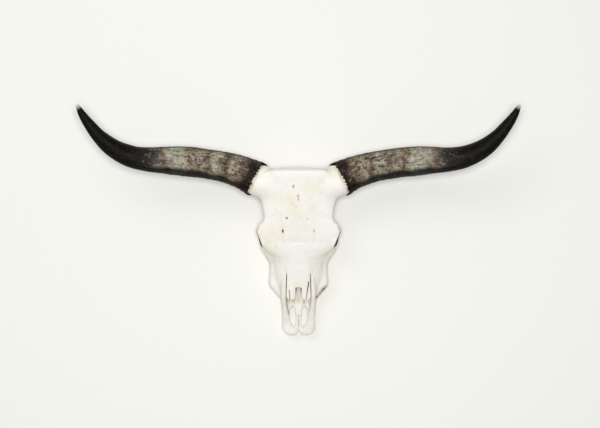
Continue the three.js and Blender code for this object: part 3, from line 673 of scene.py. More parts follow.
def add(tree, kind, inputs=None, stops=None, take=0, **settings):
    """Adds a node with its settings, and gives back one of its outputs. inputs, by name or number, are outputs of
    other nodes, numbers or hex colours; stops are a ramp's places, each with a hex colour or a grey."""
    node = tree.nodes.new(f"ShaderNode{kind}")
    for key, value in settings.items():
        setattr(node, key, value)
    for key, value in (inputs or {}).items():
        if isinstance(value, bpy.types.NodeSocket):
            tree.links.new(node.inputs[key], value)
        else:
            node.inputs[key].default_value = linear(value) if isinstance(value, str) else value
    if stops:
        elements = node.color_ramp.elements
        elements.remove(elements[-1])
        for i, (place, colour) in enumerate(stops):
            stop = elements.new(place) if i else elements[0]
            stop.position = place
            stop.color = linear(colour) if isinstance(colour, str) else (colour, colour, colour, 1)
    return node.outputs[take] if node.outputs else None


def new_material(name):
    """A material with nothing in it yet, and its tree."""
    material = bpy.data.materials.new(name)
    material.use_nodes = True
    material.node_tree.nodes.clear()
    return material, material.node_tree


def bleached_bone(colours):
    """Cow bone, boiled and bleached by the sun: matt and chalky, near white, with warm patches where fat has stayed.
    Painted shade, in soil browns, darkens its hollows, the lower lips of its eye sockets, its pits, the premaxillae's
    inner edges and the inside of its nose. A yellow-brown tone marks its stains, and with some dark it paints shade
    along the right cheek's edge. Its pores are a few tenths of a millimetre wide, and are drawn 2.2 mm apart, coarser
    than they are, so that they show."""
    material, tree = new_material("bleached_bone")
    place = add(tree, "TexCoord", take="Object")
    # the third attribute is painted shade; the second holds stain and the right cheek's painted shade
    cavity, stain_and_shade, painted_shade = (
        add(tree, "Attribute", take="Fac", attribute_name=name) for name in ("cavity", "stain_and_shade", "painted_shade")
    )
    patches = add(tree, "TexNoise", {"Vector": place, "Scale": 1 / (55 * MM), "Detail": 3.0, "Roughness": 0.55})
    patch = add(tree, "ValToRGB", {"Fac": patches}, [(0.48, 0.0), (0.72, 0.9)])
    flecks = add(tree, "TexNoise", {"Vector": place, "Scale": 1 / (6 * MM), "Detail": 4.0, "Roughness": 0.65})
    fleck = add(tree, "ValToRGB", {"Fac": flecks}, [(0.62, 0.0), (0.74, 1.0)])
    faint = add(tree, "Math", {0: fleck, 1: 0.22}, operation="MULTIPLY")
    # painted shade in the hollows, mottled by the flecks' noise
    hollow = add(tree, "MapRange", {"Value": cavity, "From Min": 0.12, "From Max": 0.95, "To Max": 0.85})
    mottled_hollow_shade = add(tree, "Math", {0: hollow, 1: flecks}, operation="MULTIPLY")
    hollow_shade = add(tree, "Math", {0: mottled_hollow_shade, 1: 1.5}, operation="MULTIPLY", use_clamp=True)
    seep = add(tree, "TexNoise", {"Vector": place, "Scale": 1 / (20 * MM), "Detail": 4.0})
    seeped = add(tree, "MapRange", {"Value": seep, "From Min": 0.3, "From Max": 0.62})
    # stain, and painted shade along the right cheek's edge, seeped by noise
    stain_and_shade_mix = add(tree, "Math", {0: stain_and_shade, 1: seeped}, operation="MULTIPLY", use_clamp=True)
    # painted shade in the eye sockets, pits, slits and nose, seeped by noise
    painted_shade_mix = add(tree, "Math", {0: painted_shade, 1: seeped, 2: painted_shade}, operation="MULTIPLY_ADD", use_clamp=True)
    colour = colours.bone
    for amount, above in (
        # the third layer is painted shade in the hollows
        (patch, colours.bone_warm), (faint, colours.bone_fleck), (hollow_shade, colours.bone_hollow_shade),
        # stain with the right cheek's painted shade, then painted shade in the eye sockets, pits, slits and nose
        (stain_and_shade_mix, colours.bone_stain_and_shade), (painted_shade_mix, colours.painted_shade),
    ):
        colour = add(tree, "Mix", {AMOUNT: amount, BELOW: colour, ABOVE: above}, take=MIXED, data_type="RGBA")
    pores = add(tree, "TexVoronoi", {"Vector": place, "Scale": 1 / (2.2 * MM), "Randomness": 1.0})
    pore = add(tree, "MapRange", {"Value": pores, "From Min": 0.05, "From Max": 0.45})
    grain = add(tree, "TexNoise", {"Vector": place, "Scale": 1 / (1.6 * MM), "Detail": 5.0, "Roughness": 0.7})
    relief = add(tree, "Math", {0: pore, 1: grain}, operation="ADD")
    bump = add(tree, "Bump", {"Height": relief, "Strength": 0.35, "Distance": 0.35 * MM})
    rough = add(tree, "MapRange", {"Value": flecks, "To Min": 0.52, "To Max": 0.78})
    surface = {"Base Color": colour, "Roughness": rough, "Normal": bump, "IOR": 1.5, "Specular IOR Level": 0.3}
    add(tree, "OutputMaterial", {"Surface": add(tree, "BsdfPrincipled", surface)})
    return material


def weathered_horn(colours):
    """Horn keratin, dried and weathered: a dull gloss, fibres that run lengthwise, dark at the rim and towards the
    tip, bleached and mottled between, with painted shade along its edges as seen from above, near black on the
    muzzle's side and brown on the back, and pale at the very tip."""
    material, tree = new_material("weathered_horn")
    laid, around = (add(tree, "Attribute", take="Vector", attribute_name=name) for name in ("laid", "around"))
    run = add(tree, "SeparateXYZ", {0: laid}, take="X")
    forward = add(tree, "SeparateXYZ", {0: around}, take="X")
    wander = add(tree, "TexNoise", {"Vector": laid, "Scale": 1 / (50 * MM), "Detail": 4.0})
    shift = add(tree, "MapRange", {"Value": wander, "To Min": -30 * MM, "To Max": 30 * MM})
    place = add(tree, "Math", {0: run, 1: shift}, operation="ADD")
    share = add(tree, "Math", {0: place, 1: HORN_BANDS_REACH}, operation="DIVIDE")
    patterns = []
    for long, wide, detail, rough in HORN_PATTERNS:
        scale = (1 / (long * MM), 1 / (wide * MM), 1 / (wide * MM))
        stretched = add(tree, "Mapping", {"Vector": laid, "Scale": scale})
        inputs = {"Vector": stretched, "Scale": 1.0, "Detail": detail, "Roughness": rough}
        patterns.append(add(tree, "TexNoise", inputs))
    streaks, mottle, fibres = patterns
    worn = add(tree, "ValToRGB", {"Fac": share}, HORN_WEAR)
    dark, pale = (
        add(tree, "Math", {0: add(tree, "ValToRGB", {"Fac": mottle}, stops), 1: worn}, operation="MULTIPLY")
        for stops in ([(0.4, 1.0), (0.51, 0.0)], [(0.54, 0.0), (0.66, 0.9)])
    )
    fine = add(tree, "MapRange", {"Value": streaks, "From Min": 0.34, "From Max": 0.66, "To Min": 0.62, "To Max": 1.24})
    uneven = add(tree, "Math", {0: mottle, 1: wander}, operation="ADD")
    # painted shade along the horn's edges seen from above: near black on the muzzle's side, wavering with the mottle,
    # and brown on the back
    muzzle_side = add(tree, "Math", {0: uneven, 1: 0.5, 2: forward}, operation="MULTIPLY_ADD")
    edge = add(tree, "MapRange", {"Value": muzzle_side, "From Min": 0.98, "From Max": 1.22, "To Max": 0.93})
    back = add(tree, "MapRange", {"Value": forward, "From Min": -0.84, "From Max": -0.98, "To Max": 0.85})
    tip = add(tree, "MapRange", {"Value": run, "From Min": 561 * MM, "From Max": 574 * MM})
    colour = add(tree, "ValToRGB", {"Fac": share}, HORN_BANDS)
    for amount, above, mode in (
        (dark, colours.horn_brown_and_back_shade, "MIX"), (pale, colours.horn_pale, "MIX"), (1.0, fine, "MULTIPLY"),
        # the edge and back layers are painted shade; the tip's layer is its own colour
        (edge, colours.horn_edge_shade, "MIX"), (back, colours.horn_brown_and_back_shade, "MIX"), (tip, colours.horn_tip, "MIX"),
    ):
        inputs = {AMOUNT: amount, BELOW: colour, ABOVE: above}
        colour = add(tree, "Mix", inputs, take=MIXED, data_type="RGBA", blend_type=mode)
    relief = add(tree, "Math", {0: fibres, 1: mottle}, operation="ADD")
    bump = add(tree, "Bump", {"Height": relief, "Strength": 0.5, "Distance": 0.5 * MM})
    rough = add(tree, "MapRange", {"Value": mottle, "From Min": 0.3, "From Max": 0.7, "To Min": 0.4, "To Max": 0.66})
    surface = {"Base Color": colour, "Roughness": rough, "Normal": bump, "IOR": 1.54, "Specular IOR Level": 0.07}
    add(tree, "OutputMaterial", {"Surface": add(tree, "BsdfPrincipled", surface)})
    return material


def cow_tooth(colours):
    """Cheek teeth: cream enamel folded round tan dentine on the worn faces, with brown-black stain in the cups and in
    the clefts of the sides."""
    material, tree = new_material("enamel_and_dentine")
    place = add(tree, "TexCoord", take="Object")
    enamel, cup = (add(tree, "Attribute", take="Fac", attribute_name=name) for name in ("enamel", "cup"))
    height = add(tree, "SeparateXYZ", {0: place}, take="Z")
    lines = add(tree, "Mapping", {"Vector": place, "Scale": (1 / (5 * MM), 1 / (5 * MM), 1 / (9 * MM))})
    streaks = add(tree, "TexNoise", {"Vector": lines, "Scale": 1.0, "Detail": 3.0})
    neck = add(tree, "MapRange", {"Value": height, "From Min": 8 * MM, "From Max": 26 * MM, "To Max": 0.75})
    necked = add(tree, "Math", {0: neck, 1: streaks}, operation="MULTIPLY", use_clamp=True)
    tartar = add(tree, "MapRange", {"Value": streaks, "From Min": 0.56, "From Max": 0.75, "To Max": 0.22})
    colour = colours.dentine
    for amount, above in (
        (enamel, colours.enamel), (necked, colours.cement), (tartar, colours.tartar), (cup, colours.cup),
    ):
        colour = add(tree, "Mix", {AMOUNT: amount, BELOW: colour, ABOVE: above}, take=MIXED, data_type="RGBA")
    bump = add(tree, "Bump", {"Height": streaks, "Strength": 0.4, "Distance": 0.4 * MM})
    surface = {"Base Color": colour, "Roughness": 0.38, "Normal": bump, "IOR": 1.62}
    add(tree, "OutputMaterial", {"Surface": add(tree, "BsdfPrincipled", surface)})
    return material


def matt_paper(colours):
    """Seamless background paper: matt, and even but for a faint cloudiness. Its fibres are too fine to show, so the
    clouds are drawn 40 mm wide."""
    material, tree = new_material("matt_paper")
    place = add(tree, "TexCoord", take="Object")
    clouds = add(tree, "TexNoise", {"Vector": place, "Scale": 1 / (40 * MM), "Detail": 3.0})
    tone = add(tree, "MapRange", {"Value": clouds, "To Max": 0.04})
    inputs = {AMOUNT: tone, BELOW: colours.floor, ABOVE: "#FFFFFF"}
    colour = add(tree, "Mix", inputs, take=MIXED, data_type="RGBA")
    surface = {"Base Color": colour, "Roughness": 0.9, "Specular IOR Level": 0.1}
    add(tree, "OutputMaterial", {"Surface": add(tree, "BsdfPrincipled", surface)})
    return material


# ---- The skull ----
def half_skull(sizes):
    """The field of the right half of the skull. The face comes first and is cut off along the slope of the nose; then
    come the broad forms, the large hollows, the finer forms and the openings, and last the nasal bones."""
    cell = sizes.cell / MM
    field = empty_field(cell)
    _, y, z = field.axes()
    field.add(across(FACE), 0)
    field.d = -soft_min(-field.d, -slope_field(NOSE_SLOPE, y, z).astype(np.float32), 3)
    for shape, k in (
        (across(FOREHEAD), 16), (across(BRAINCASE), 8), (along(HORN_CORE), 9), (across(ALVEOLAR_RIDGE), 8),
        (along(CHEEK), 15),
    ):
        field.add(shape, k)
    for shape, k in ((along(EYE_SOCKET), 3), (across(TEMPORAL_FOSSA), 8), (across(NASAL_CAVITY), 2)):
        field.cut(shape, k)
    ring = torus(ORBIT, sizes.orbit_radius / MM, sizes.orbit_rim / MM, ORBIT_TURN, ORBIT_LIFT)
    backwards, sideways = (0, 1, 0), (1, 0, 0)
    for shape, k in (
        (across(PALATE), 3), (across(SKULL_BASE), 6), (ring, 4), (across(INCISIVE_BODY), 3),
        (across(PALATINE_PROCESS), 5), (across(PTERYGOID_PLATE), 4), (along(CHEEK_ARCH), 5),
        (along(POSTORBITAL_BAR, sideways), 6), (along(MASTOID, backwards), 7), (along(MASTOID_ROOT), 6),
        (along(EAR_CANAL), 4), (along(BULLA), 4), (along(EAR_SPIKE), 4), (along(CONDYLE, backwards), 4),
        (along(JUGULAR_PROCESS, backwards, flat_end=True), 6), (along(NECK_CREST), 7),
    ):
        field.add(shape, k)
    for lump in LUMPS:
        field.lump(*lump)
    for shape, k in (
        (across(CHOANA), 3), (along(MARROW_HOLE), 4), (across(PALATINE_FISSURE), 3), (along(CHEEK_FORAMEN), 2),
        (along(EAR_HOLE), 1.5),
    ):
        field.cut(shape, k)
    nasal = empty_field(cell)
    nasal.add(across(NASAL_BONES), 0)
    nasal.cut(across(NASAL_CAVITY), 2)
    nasal.cut(across(NASAL_NOTCH), 3)
    field.d = soft_min(field.d, nasal.d, np.interp(y, *NASAL_JOIN).astype(np.float32))
    for hole in HOLES:
        field.dent(*hole, 1.2)
    return field


def whole(half):
    """Both halves of a field of the right half, by mirroring it in the midline."""
    return Field(half.cell, half.first - [half.shape[0] - 1, 0, 0], np.concatenate([half.d[:0:-1], half.d]))


def wear_bone(field, sizes):
    """Makes the bone uneven: broad swells, fine grain, roughness round the horns' roots, holes and vessels' grooves."""
    x, y, _ = field.axes()
    root = ramp(along_horn(np.abs(x), y) + 46, 34) * (y > HORN_FRONT)
    field.d += field.noise(38, 3) * np.float32(sizes.swell / MM)
    field.d += field.noise(9, 5) * (sizes.grain / MM * (1 + 2.2 * root)).astype(np.float32)
    field.d += field.noise(4.5, 6) * (0.12 + 0.5 * root).astype(np.float32)
    for px, py, *radii in FOREHEAD_PITS:
        field.dent((px, py, field.top(px, py)), radii)
    for line, radius in VESSEL_GROOVES:
        field.groove([(px, py, field.top(px, py) + 0.4) for px, py in line], radius)


def rooms(field, sizes):
    """Fields of the bones' rooms, each positive inside, which part the skull along its wandering sutures. A shallow
    groove follows the sutures, shallowest on the roof."""
    x, y, z = field.axes()
    side = np.abs(x)
    wander = np.float32(sizes.suture_wander / MM)
    squiggle = wander * (np.sin(side / 2.1 + 0.7 * np.sin(z / 3.7)) * 0.5 + 0.5 * field.noise(6, 11))
    front = slope_field(CRANIAL_SUTURE, y - np.interp(side, *CRANIAL_BOW) * ramp(z - 70, 40), z) + squiggle
    incisive = slope_field(INCISIVE_SUTURE, y, z) + 0.7 * squiggle
    above = (z - np.interp(y, *zip(*FRONTAL_SUTURE))) + squiggle
    core = np.minimum(np.minimum(side - 96, y - 386), z - 122) + squiggle
    frontal = np.maximum(above, core)
    cheek = np.minimum(side - 60, 346 - y + squiggle)
    behind = y - np.interp(side, *OCCIPITAL_LINE) + squiggle
    gap = np.interp(y, [174, 188], [sizes.nose_gap / MM / 2, 0])
    nasal = np.minimum(np.interp(y, *NASAL_OUTLINE) - side + 0.6 * squiggle * (y > 180), z - roof(y) + 19)
    beside = -nasal - gap
    lines = np.minimum(np.abs(front), np.abs(nasal))
    lines = np.minimum(lines, np.where(front < 0, FAR, np.abs(incisive)))
    low = np.minimum(np.abs(cheek), np.where(cheek > 0, FAR, np.abs(behind)))
    low = np.minimum(np.abs(frontal), np.where(frontal > 0, FAR, low))
    lines = np.minimum(lines, np.where(front > 0, FAR, low))
    depth = 0.5 - 0.38 * ramp(z - roof(y) + 16, 8)
    field.d += ((1 - ramp(lines, SUTURE_GROOVE)) * depth).astype(np.float32)
    return {
        "nasal": (nasal - gap,), "premaxilla": (beside, front, incisive), "maxilla": (beside, front, -incisive),
        "frontal": (beside, -front, frontal), "cheekbone": (-front, -frontal, cheek),
        "temporal": (-front, -frontal, -cheek, -behind), "occipital": (-front, -frontal, -cheek, behind),
    }


def hollowness(field):
    """The field averaged over about 6 mm. Less the field itself, it tells how deep a place lies in a hollow: crests
    are positive and pits negative."""
    smooth = Field(field.cell * 2, field.first / 2, field.d[::2, ::2, ::2].copy())
    smooth.soften(7)
    return smooth


def stains_and_shade(x, y, z):
    """Stain at the bone's corners: streaks inside the tip of the nose, a tone deep in it, the rim at the horns, painted
    shade with a reddish-brown stain along the edge of the right cheek and a faint tone on the muzzle. Also the cheek's
    share alone."""
    side = np.abs(x)
    streak = np.clip(np.sin(x / 2.4 + 1.3) + 0.6 * np.sin(x / 1.1 + y / 19) + 0.2, 0, 1)
    nose = (1 - ramp(np.abs(z - 46), 16)) * ramp(y - 82, 14) * ramp(150 - y, 30)
    nose *= ramp(37 - side, 4) * ramp(side - 7, 5) * (0.25 + 0.75 * streak)
    deep = ramp(z - 50, 20) * ramp(y - 120, 30) * ramp(38 - side, 4) * (y < 300) * ramp(roof(y) - 12 - z, 4)
    rim = ramp(along_horn(side, y) + 6, 4) * (y > HORN_FRONT)
    # painted shade with a reddish-brown stain along the right cheek's edge, on the right side only
    (foot_x, foot_y), (run_x, run_y), run = CHEEK_EDGE
    outward = ((x - foot_x) * run_y - (y - foot_y) * run_x) / run
    behind = ((x - foot_x) * run_x + (y - foot_y) * run_y) / run
    cheek = (1 - ramp(1 - outward, 13)) ** 1.3 * (1 - ramp(-behind, 8)) * ramp(54 - behind, 22) * (x > 40)
    cheek *= bell(z - 68, 27) * (y < 200)
    return np.clip(0.7 * nose + 0.35 * deep + 0.7 * rim + cheek + 0.12 * ramp(170 - y, 70), 0, 1), cheek


def painted_shade_marks(x, y, z):
    """Painted shade, in a dark soil brown, at the bone's corners: on the lower lip of the eye sockets, in the
    forehead's pits, along the inner edge of the premaxillae and inside the nose."""
    side = np.abs(x)
    ct, st = np.cos(ORBIT_TURN), np.sin(ORBIT_TURN)
    out = (side - ORBIT[0]) * ct - (y - ORBIT[1]) * st
    back = (side - ORBIT[0]) * st + (y - ORBIT[1]) * ct
    round_eye = np.hypot(back / ORBIT_OVAL, z - ORBIT[2])
    # painted shade on the lower lip of the eye socket, under the roof's eave
    painted_shade = ramp(33.2 - round_eye, 1.6) * ramp(round_eye - 24, 4) * ramp(out + 1.5, 2.5)
    painted_shade *= 0.9 * ramp(-(z - ORBIT[2]) / 32 - 0.1, 0.3) * (out < 12)
    # painted shade in the pits, darker for deeper pits
    for px, py, across_r, along_r, depth in FOREHEAD_PITS:
        painted_shade += 0.13 * depth * np.exp(-(((x - px) / across_r) ** 2 + ((y - py) / along_r) ** 2)) * (z > roof(y) - 25)
    # painted shade along the premaxillae's inner edge, stronger on the left
    inner = ramp(2 - np.abs(side - np.interp(y, *MUZZLE_EDGE)), 1) * ramp(y - 40, 12) * ramp(124 - y, 12)
    painted_shade += (0.32 * (x < 0) + 0.08) * inner * ramp(z - 42, 6) * ramp(72 - z, 8)
    # painted shade inside the nose, below its roof
    within = ramp(y - 122, 16) * ramp(37 - side, 3) * ramp(roof(y) - 13 - z, 3) * (z > 45) * (y < 292)
    return painted_shade + 0.5 * within


def skin(field, room):
    """Corners and quads of the bone that lies in a room. Neighbours lap a little, so that no gap shows along a
    suture."""
    cut = field.d
    for side in room:
        cut = np.maximum(cut, np.float32(-LAP) - side.astype(np.float32))
    inside = np.argwhere(cut < 0)
    low = np.maximum(inside.min(0) - 3, 0)
    box = tuple(slice(int(a), int(b)) for a, b in zip(low, inside.max(0) + 4))
    grid = vdb.FloatGrid()
    grid.background = SKIN
    padded = np.pad(cut[box], 1, constant_values=SKIN)
    grid.copyFromArray(np.ascontiguousarray(np.clip(padded, -SKIN, SKIN)))
    corners, quads = grid.convertToQuads(0.0)
    return main_shell((corners - 1 + low + field.first) * field.cell, quads.astype(np.int64))


def bone_piece(name, field, room, cavity, material):
    """Makes the object of the bone in a room, with each corner's hollowness, its stain with the right cheek's painted
    shade, and its painted shade in the eye sockets, pits, slits and nose.
    """
    corners, quads = skin(field, room)
    hollow = cavity.sample(corners) - field.sample(corners)
    stain_and_shade, cheek = stains_and_shade(*corners.T)
    # painted shade, with more along the right cheek's edge
    painted_shade = np.clip(painted_shade_marks(*corners.T) + 0.4 * cheek**2, 0, 1)
    values = {"cavity": ramp(-hollow, 3.0), "painted_shade": painted_shade, "stain_and_shade": stain_and_shade}
    return mesh_object(name, material, to_world(corners), quads, values=values)


# ---- Operators ----
def finish(piece, slot, *nodes):
    """Says which body carries the piece and which nodes it stands for. The slot, what it is made of, is not used."""
    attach(piece, BODY)
    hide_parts(*nodes)


def shared_material(name, make):
    """The material of that name, made the first time that a piece needs it."""
    return bpy.data.materials.get(name) or make(bpy.context.scene.skull_colours)


class SKULL_OT_bones(bpy.types.Operator):
    """Builds the skull's field, parts it along the sutures and skins each bone"""

    bl_idname = "skull.bones"
    bl_label = "Bones"

    def execute(self, context):
        sizes = context.scene.skull_sizes
        bone = shared_material("bleached_bone", bleached_bone)
        field = whole(half_skull(sizes))
        wear_bone(field, sizes)
        for slit in NOSE_SLITS:
            field.slit(*slit)
        field.soften(1)
        parts = rooms(field, sizes)
        cavity = hollowness(field)
        x, _, _ = field.axes()
        halves = {"right": x, "left": -x}
        for kind, room in parts.items():
            if kind in ("temporal", "occipital"):
                finish(bone_piece(f"{kind}_bone", field, room, cavity, bone), "bone", "braincase")
                continue
            for side, half_room in halves.items():
                node = kind if kind == "frontal" else f"{kind}_{side}"
                finish(bone_piece(f"{kind}_{side}_bone", field, (*room, half_room), cavity, bone), "bone", node)
        return {"FINISHED"}


class SKULL_OT_vomer(bpy.types.Operator):
    """Lofts the vomer, the narrow trough that stands on the floor of the nose"""

    bl_idname = "skull.vomer"
    bl_label = "Vomer"

    def execute(self, context):
        bone = shared_material("bleached_bone", bleached_bone)
        ends, *rows = np.array(VOMER_TROUGH, float).T
        y = np.linspace(ends[0], ends[-1], 120)
        width, lips, keel = curve(ends, np.stack(rows, -1), y).T[:, :, None]
        wave = context.scene.skull_sizes.vomer_wave / MM
        lips = lips + 0.8 * np.sin(y / 5.3)[:, None] + 0.5 * np.sin(y / 2.1)[:, None]
        t = np.linspace(0, 1, 14)
        # the trough's outer face from lip to keel to lip, then its inner face back
        across_v = np.concatenate([1 - t, -t[1:], (t - 1) * VOMER_HOLLOW, t[1:] * VOMER_HOLLOW])
        outside = np.broadcast_to(np.concatenate([1 - t, t[1:]]), (len(y), 2 * len(t) - 1))
        depth = np.interp(y, *VOMER_DEPTH)[:, None]
        up_v = np.concatenate([outside, 1 - t * depth, 1 - depth + depth * t[1:]], axis=1)
        x = width * np.sign(across_v) * np.abs(across_v) ** 1.6 + wave * np.sin(y / 17)[:, None]
        z = keel + (lips - keel) * up_v
        corners, quads, triangles = closed_tube(np.stack([x, np.broadcast_to(y[:, None], x.shape), z], -1))
        stain_and_shade = 0.8 * (ramp(150 - corners[:, 1], 80) * ramp(-corners[:, 0], 5))
        # painted shade, darker deeper in the nose
        painted_shade = 0.5 * ramp(corners[:, 1] - 140, 16)
        values = {"cavity": np.full(len(corners), 0.1), "painted_shade": painted_shade, "stain_and_shade": stain_and_shade}
        finish(mesh_object("vomer_trough", bone, to_world(corners), quads, triangles, values), "bone", "vomer")
        return {"FINISHED"}


def tooth(place, half_width, half_length, kind, side, sizes):
    """One cheek tooth. Its wall is a rounded square drawn down from the jaw; ridges stand out on the cheek side and
    a cleft runs in on the tongue's side between a molar's lobes. Its worn face is the last ring drawn in to the
    middle, high on the enamel folds and low on the dentine and in the cups."""
    angle = np.linspace(0, 2 * np.pi, 4001)
    u, v = squared(np.cos(angle), 4.0), squared(np.sin(angle), 6.0)
    reach = np.concatenate([[0], np.cumsum(np.hypot(np.diff(u) * half_width, np.diff(v) * half_length))])
    even = np.linspace(0, reach[-1], TOOTH_AROUND, endpoint=False)
    u, v = np.interp(even, reach, u), np.interp(even, reach, v)
    cheek, tongue = np.clip(u, 0, 1), np.clip(-u, 0, 1)
    ridges = sum(bell(v - at, 0.11) for at in kind["ridges"])
    bulge = sum(bell(v - at, 0.2) for at in kind["bulges"])
    cleft = kind["cleft"] * bell(v, 0.15)
    u = u + cheek * (0.2 * ridges + 0.08 * bulge - 0.2) + tongue * (0.42 * cleft - 0.16 * v * v)
    down = np.linspace(0, 1, 16)[:, None]
    taper = 0.93 + 0.07 * np.sin(down * np.pi * 0.5)
    root = sizes.root / MM
    cusp = 0.5 + 0.5 * np.cos(v * np.pi * kind["waves"]) * kind["middle"]
    cusp = 2.4 * cusp * (0.75 + 0.25 * np.sign(u))
    wall_z = root + (cusp[None] + 0.5 - root) * down
    wall = np.stack([half_width * u[None] * taper, half_length * v[None] * (0.97 + 0.03 * down), wall_z], -1)
    inward = np.linspace(1, 0.02, 30)[:, None]
    face_u, face_v = u[None] * inward, v[None] * inward
    fold = bell(1 - inward, 0.09) + 0 * face_u
    cup = 0 * fold
    for centre in kind["cups"]:
        bent = face_u - 0.12 + kind["bend"] * (face_v - centre) ** 2
        ring = np.sqrt((bent / 0.2) ** 2 + ((face_v - centre) / kind["cup_reach"]) ** 2)
        fold = np.maximum(fold, bell(ring - 1, 0.24))
        cup = np.maximum(cup, ramp(0.72 - ring, 0.25))
    face_z = cusp[None] * (0.35 + 0.65 * inward**3) + sizes.wear / MM * (1 - fold) + 2.4 * cup
    rings = np.concatenate([wall, np.stack([half_width * face_u, half_length * face_v, face_z], -1)])
    enamel = np.concatenate([0.75 + 0 * wall[..., 0], fold * (1 - cup)])
    between = ramp(np.abs(v) - 0.93, 0.05) * (1 - 0.5 * np.abs(u))
    dark = np.concatenate([0.45 * cleft * (u < 0) + 0.3 * between + 0 * down, cup])
    lean = 0.8 * (1 - rings[..., 2] / root)
    rings = rings + np.array([*place, 0])
    rings[..., 0] = side * (rings[..., 0] + lean)
    return rings, enamel, dark


class SKULL_OT_teeth(bpy.types.Operator):
    """Builds the two rows of six cheek teeth, three premolars and three molars on each side"""

    bl_idname = "skull.teeth"
    bl_label = "Cheek teeth"

    def execute(self, context):
        sizes = context.scene.skull_teeth
        material = shared_material("enamel_and_dentine", cow_tooth)
        lengths = np.array(TOOTH_LENGTHS, float)
        middles = sizes.row_start / MM + np.cumsum(lengths) - lengths / 2
        share = (middles - sizes.row_start / MM) / lengths.sum()
        offsets = sizes.near / MM + (sizes.far - sizes.near) / MM * np.sin(share * np.pi / 2)
        for name, side in (("right", 1), ("left", -1)):
            parts, count = [], 0
            for i, place in enumerate(zip(offsets, middles)):
                half_width, half_length = TOOTH_WIDTHS[i] / 2 - 0.6, lengths[i] / 2 - 0.1
                kind = PREMOLAR if i < PREMOLARS else MOLAR
                rings, shine, dark = tooth(place, half_width, half_length, kind, side, sizes)
                corners, quads, triangles = closed_tube(rings)
                enamel = np.append(shine.ravel(), [0.5, shine[-1].mean()])
                cup = np.append(dark.ravel(), [0, dark[-1].mean()])
                parts.append((corners, quads + count, triangles + count, enamel, cup))
                count += len(corners)
            corners, quads, triangles, enamel, cup = (np.concatenate(row) for row in zip(*parts))
            values = {"enamel": enamel, "cup": cup}
            piece = mesh_object(f"cheek_teeth_{name}", material, to_world(corners), quads, triangles, values)
            finish(piece, "bone", f"maxilla_{name}")
        return {"FINISHED"}


def wavelets(along_mm, angle, size, waves, count, seed):
    """A sum of sines over the horn's length and its girth, with seeded directions and phases: about one high."""
    rng = np.random.default_rng(seed)
    total = 0 * along_mm * angle
    for _ in range(count):
        run = 2 * np.pi * along_mm / (size * rng.uniform(0.7, 1.5))
        total = total + np.sin(run + rng.integers(-waves, waves + 1) * angle + rng.uniform(0, 6.28))
    return total / np.sqrt(count)


def horn_rings(sizes, seed):
    """Rings of a right horn's sheath, from the bottom of its hollow out to the rim and on to the tip, with each
    corner's place along and across the horn and its direction from the path. A ring is an oval square to the path;
    its size is the path's own, plus growth rings that fade along the horn, plus fibres that run lengthwise. The rim
    follows its own line round the horn, further in at the back and below."""
    reach, points, tangent, side, up, girth = path_frames(HORN_SHEATH, (0, 0, 1), 1.0)
    angle = np.linspace(0, 2 * np.pi, HORN_AROUND, endpoint=False)
    cosine, sine = np.cos(angle), np.sin(angle)  # the cosine points to the muzzle, the sine up
    rng = np.random.default_rng(seed)
    jag = sum(rng.uniform(0.3, 1) / n**0.6 * np.sin(n * angle + rng.uniform(0, 6.28)) for n in range(3, 16, 2))
    torn = sum(
        rng.uniform(0.3, 0.7) * np.sin(n * angle + 2.5 * np.sin(3 * angle + n) + rng.uniform(0, 6.28))
        for n in range(14, 40, 3)
    )
    jag = (jag + torn * (0.55 + 0.45 * np.sin(5 * angle + 2 * np.sin(2 * angle)))) * sizes.rag / MM * 0.5
    rim = -16 * bell(angle - 3.5, 0.38) - 11 * bell(angle - 5.75, 0.5) + jag + 1.5

    def oval(at, grow, shrink=1.0):
        """Corners of rings at places on the path, and the same along and across the horn. Before its start the path
        runs straight on."""
        inside = np.clip(at, 0, reach[-1])
        centre, sideways, upward, size = (
            np.stack([np.interp(inside, reach, column) for column in values.T], -1)
            for values in (points, side, up, girth)
        )
        centre = centre + np.clip(at, None, 0)[..., None] * tangent[0]
        w, h = (size[..., 0] + grow) * cosine * shrink, (size[..., 1] + grow) * sine * shrink
        return centre + w[..., None] * sideways + h[..., None] * upward, np.stack([at, w, h], -1)

    share = np.linspace(0, 1, HORN_ROWS)[:, None] ** 1.15
    at = rim[None] + (reach[-1] - rim[None]) * share
    rings = np.sin(at / 3.4 + 2.2 * np.sin(at / 31)) * 0.5 + wavelets(at, angle[None], 16, 1, 4, seed + 1) * 0.7
    swell = sizes.ring_height / MM * (1 - ramp(at, 330)) * rings
    swell = swell + sizes.ridge_height / MM * wavelets(at, angle[None], 190, 46, 14, seed + 2)
    swell = swell + 0.28 * wavelets(at, angle[None], 85, 3, 6, seed + 3)
    flake = np.clip(wavelets(at, angle[None], 26, 9, 10, seed + 4) - 0.9, 0, 0.5) * 1.4 * bell(at - 225, 75)
    swell = (swell + flake) * ramp(np.interp(np.clip(at, 0, reach[-1]), reach, girth[:, 0]), 24)
    outer, laid_outer = oval(at, swell, np.sqrt(1 - ramp(share - 0.993, 0.0072)))

    towards_rim = np.linspace(1, 0, HORN_INNER_ROWS)[:, None]
    wall = sizes.wall / MM * (0.75 + 0.25 * towards_rim)
    wall[-1] = sizes.wall / MM * 0.45
    inner, laid_inner = oval(rim[None] + (sizes.rim_depth / MM - rim[None]) * towards_rim, -wall)
    laid = np.concatenate([laid_inner, laid_outer]) * MM
    turn = np.broadcast_to(np.stack([cosine, sine, 0 * cosine], -1), laid.shape)
    return np.concatenate([inner, outer]), laid, turn


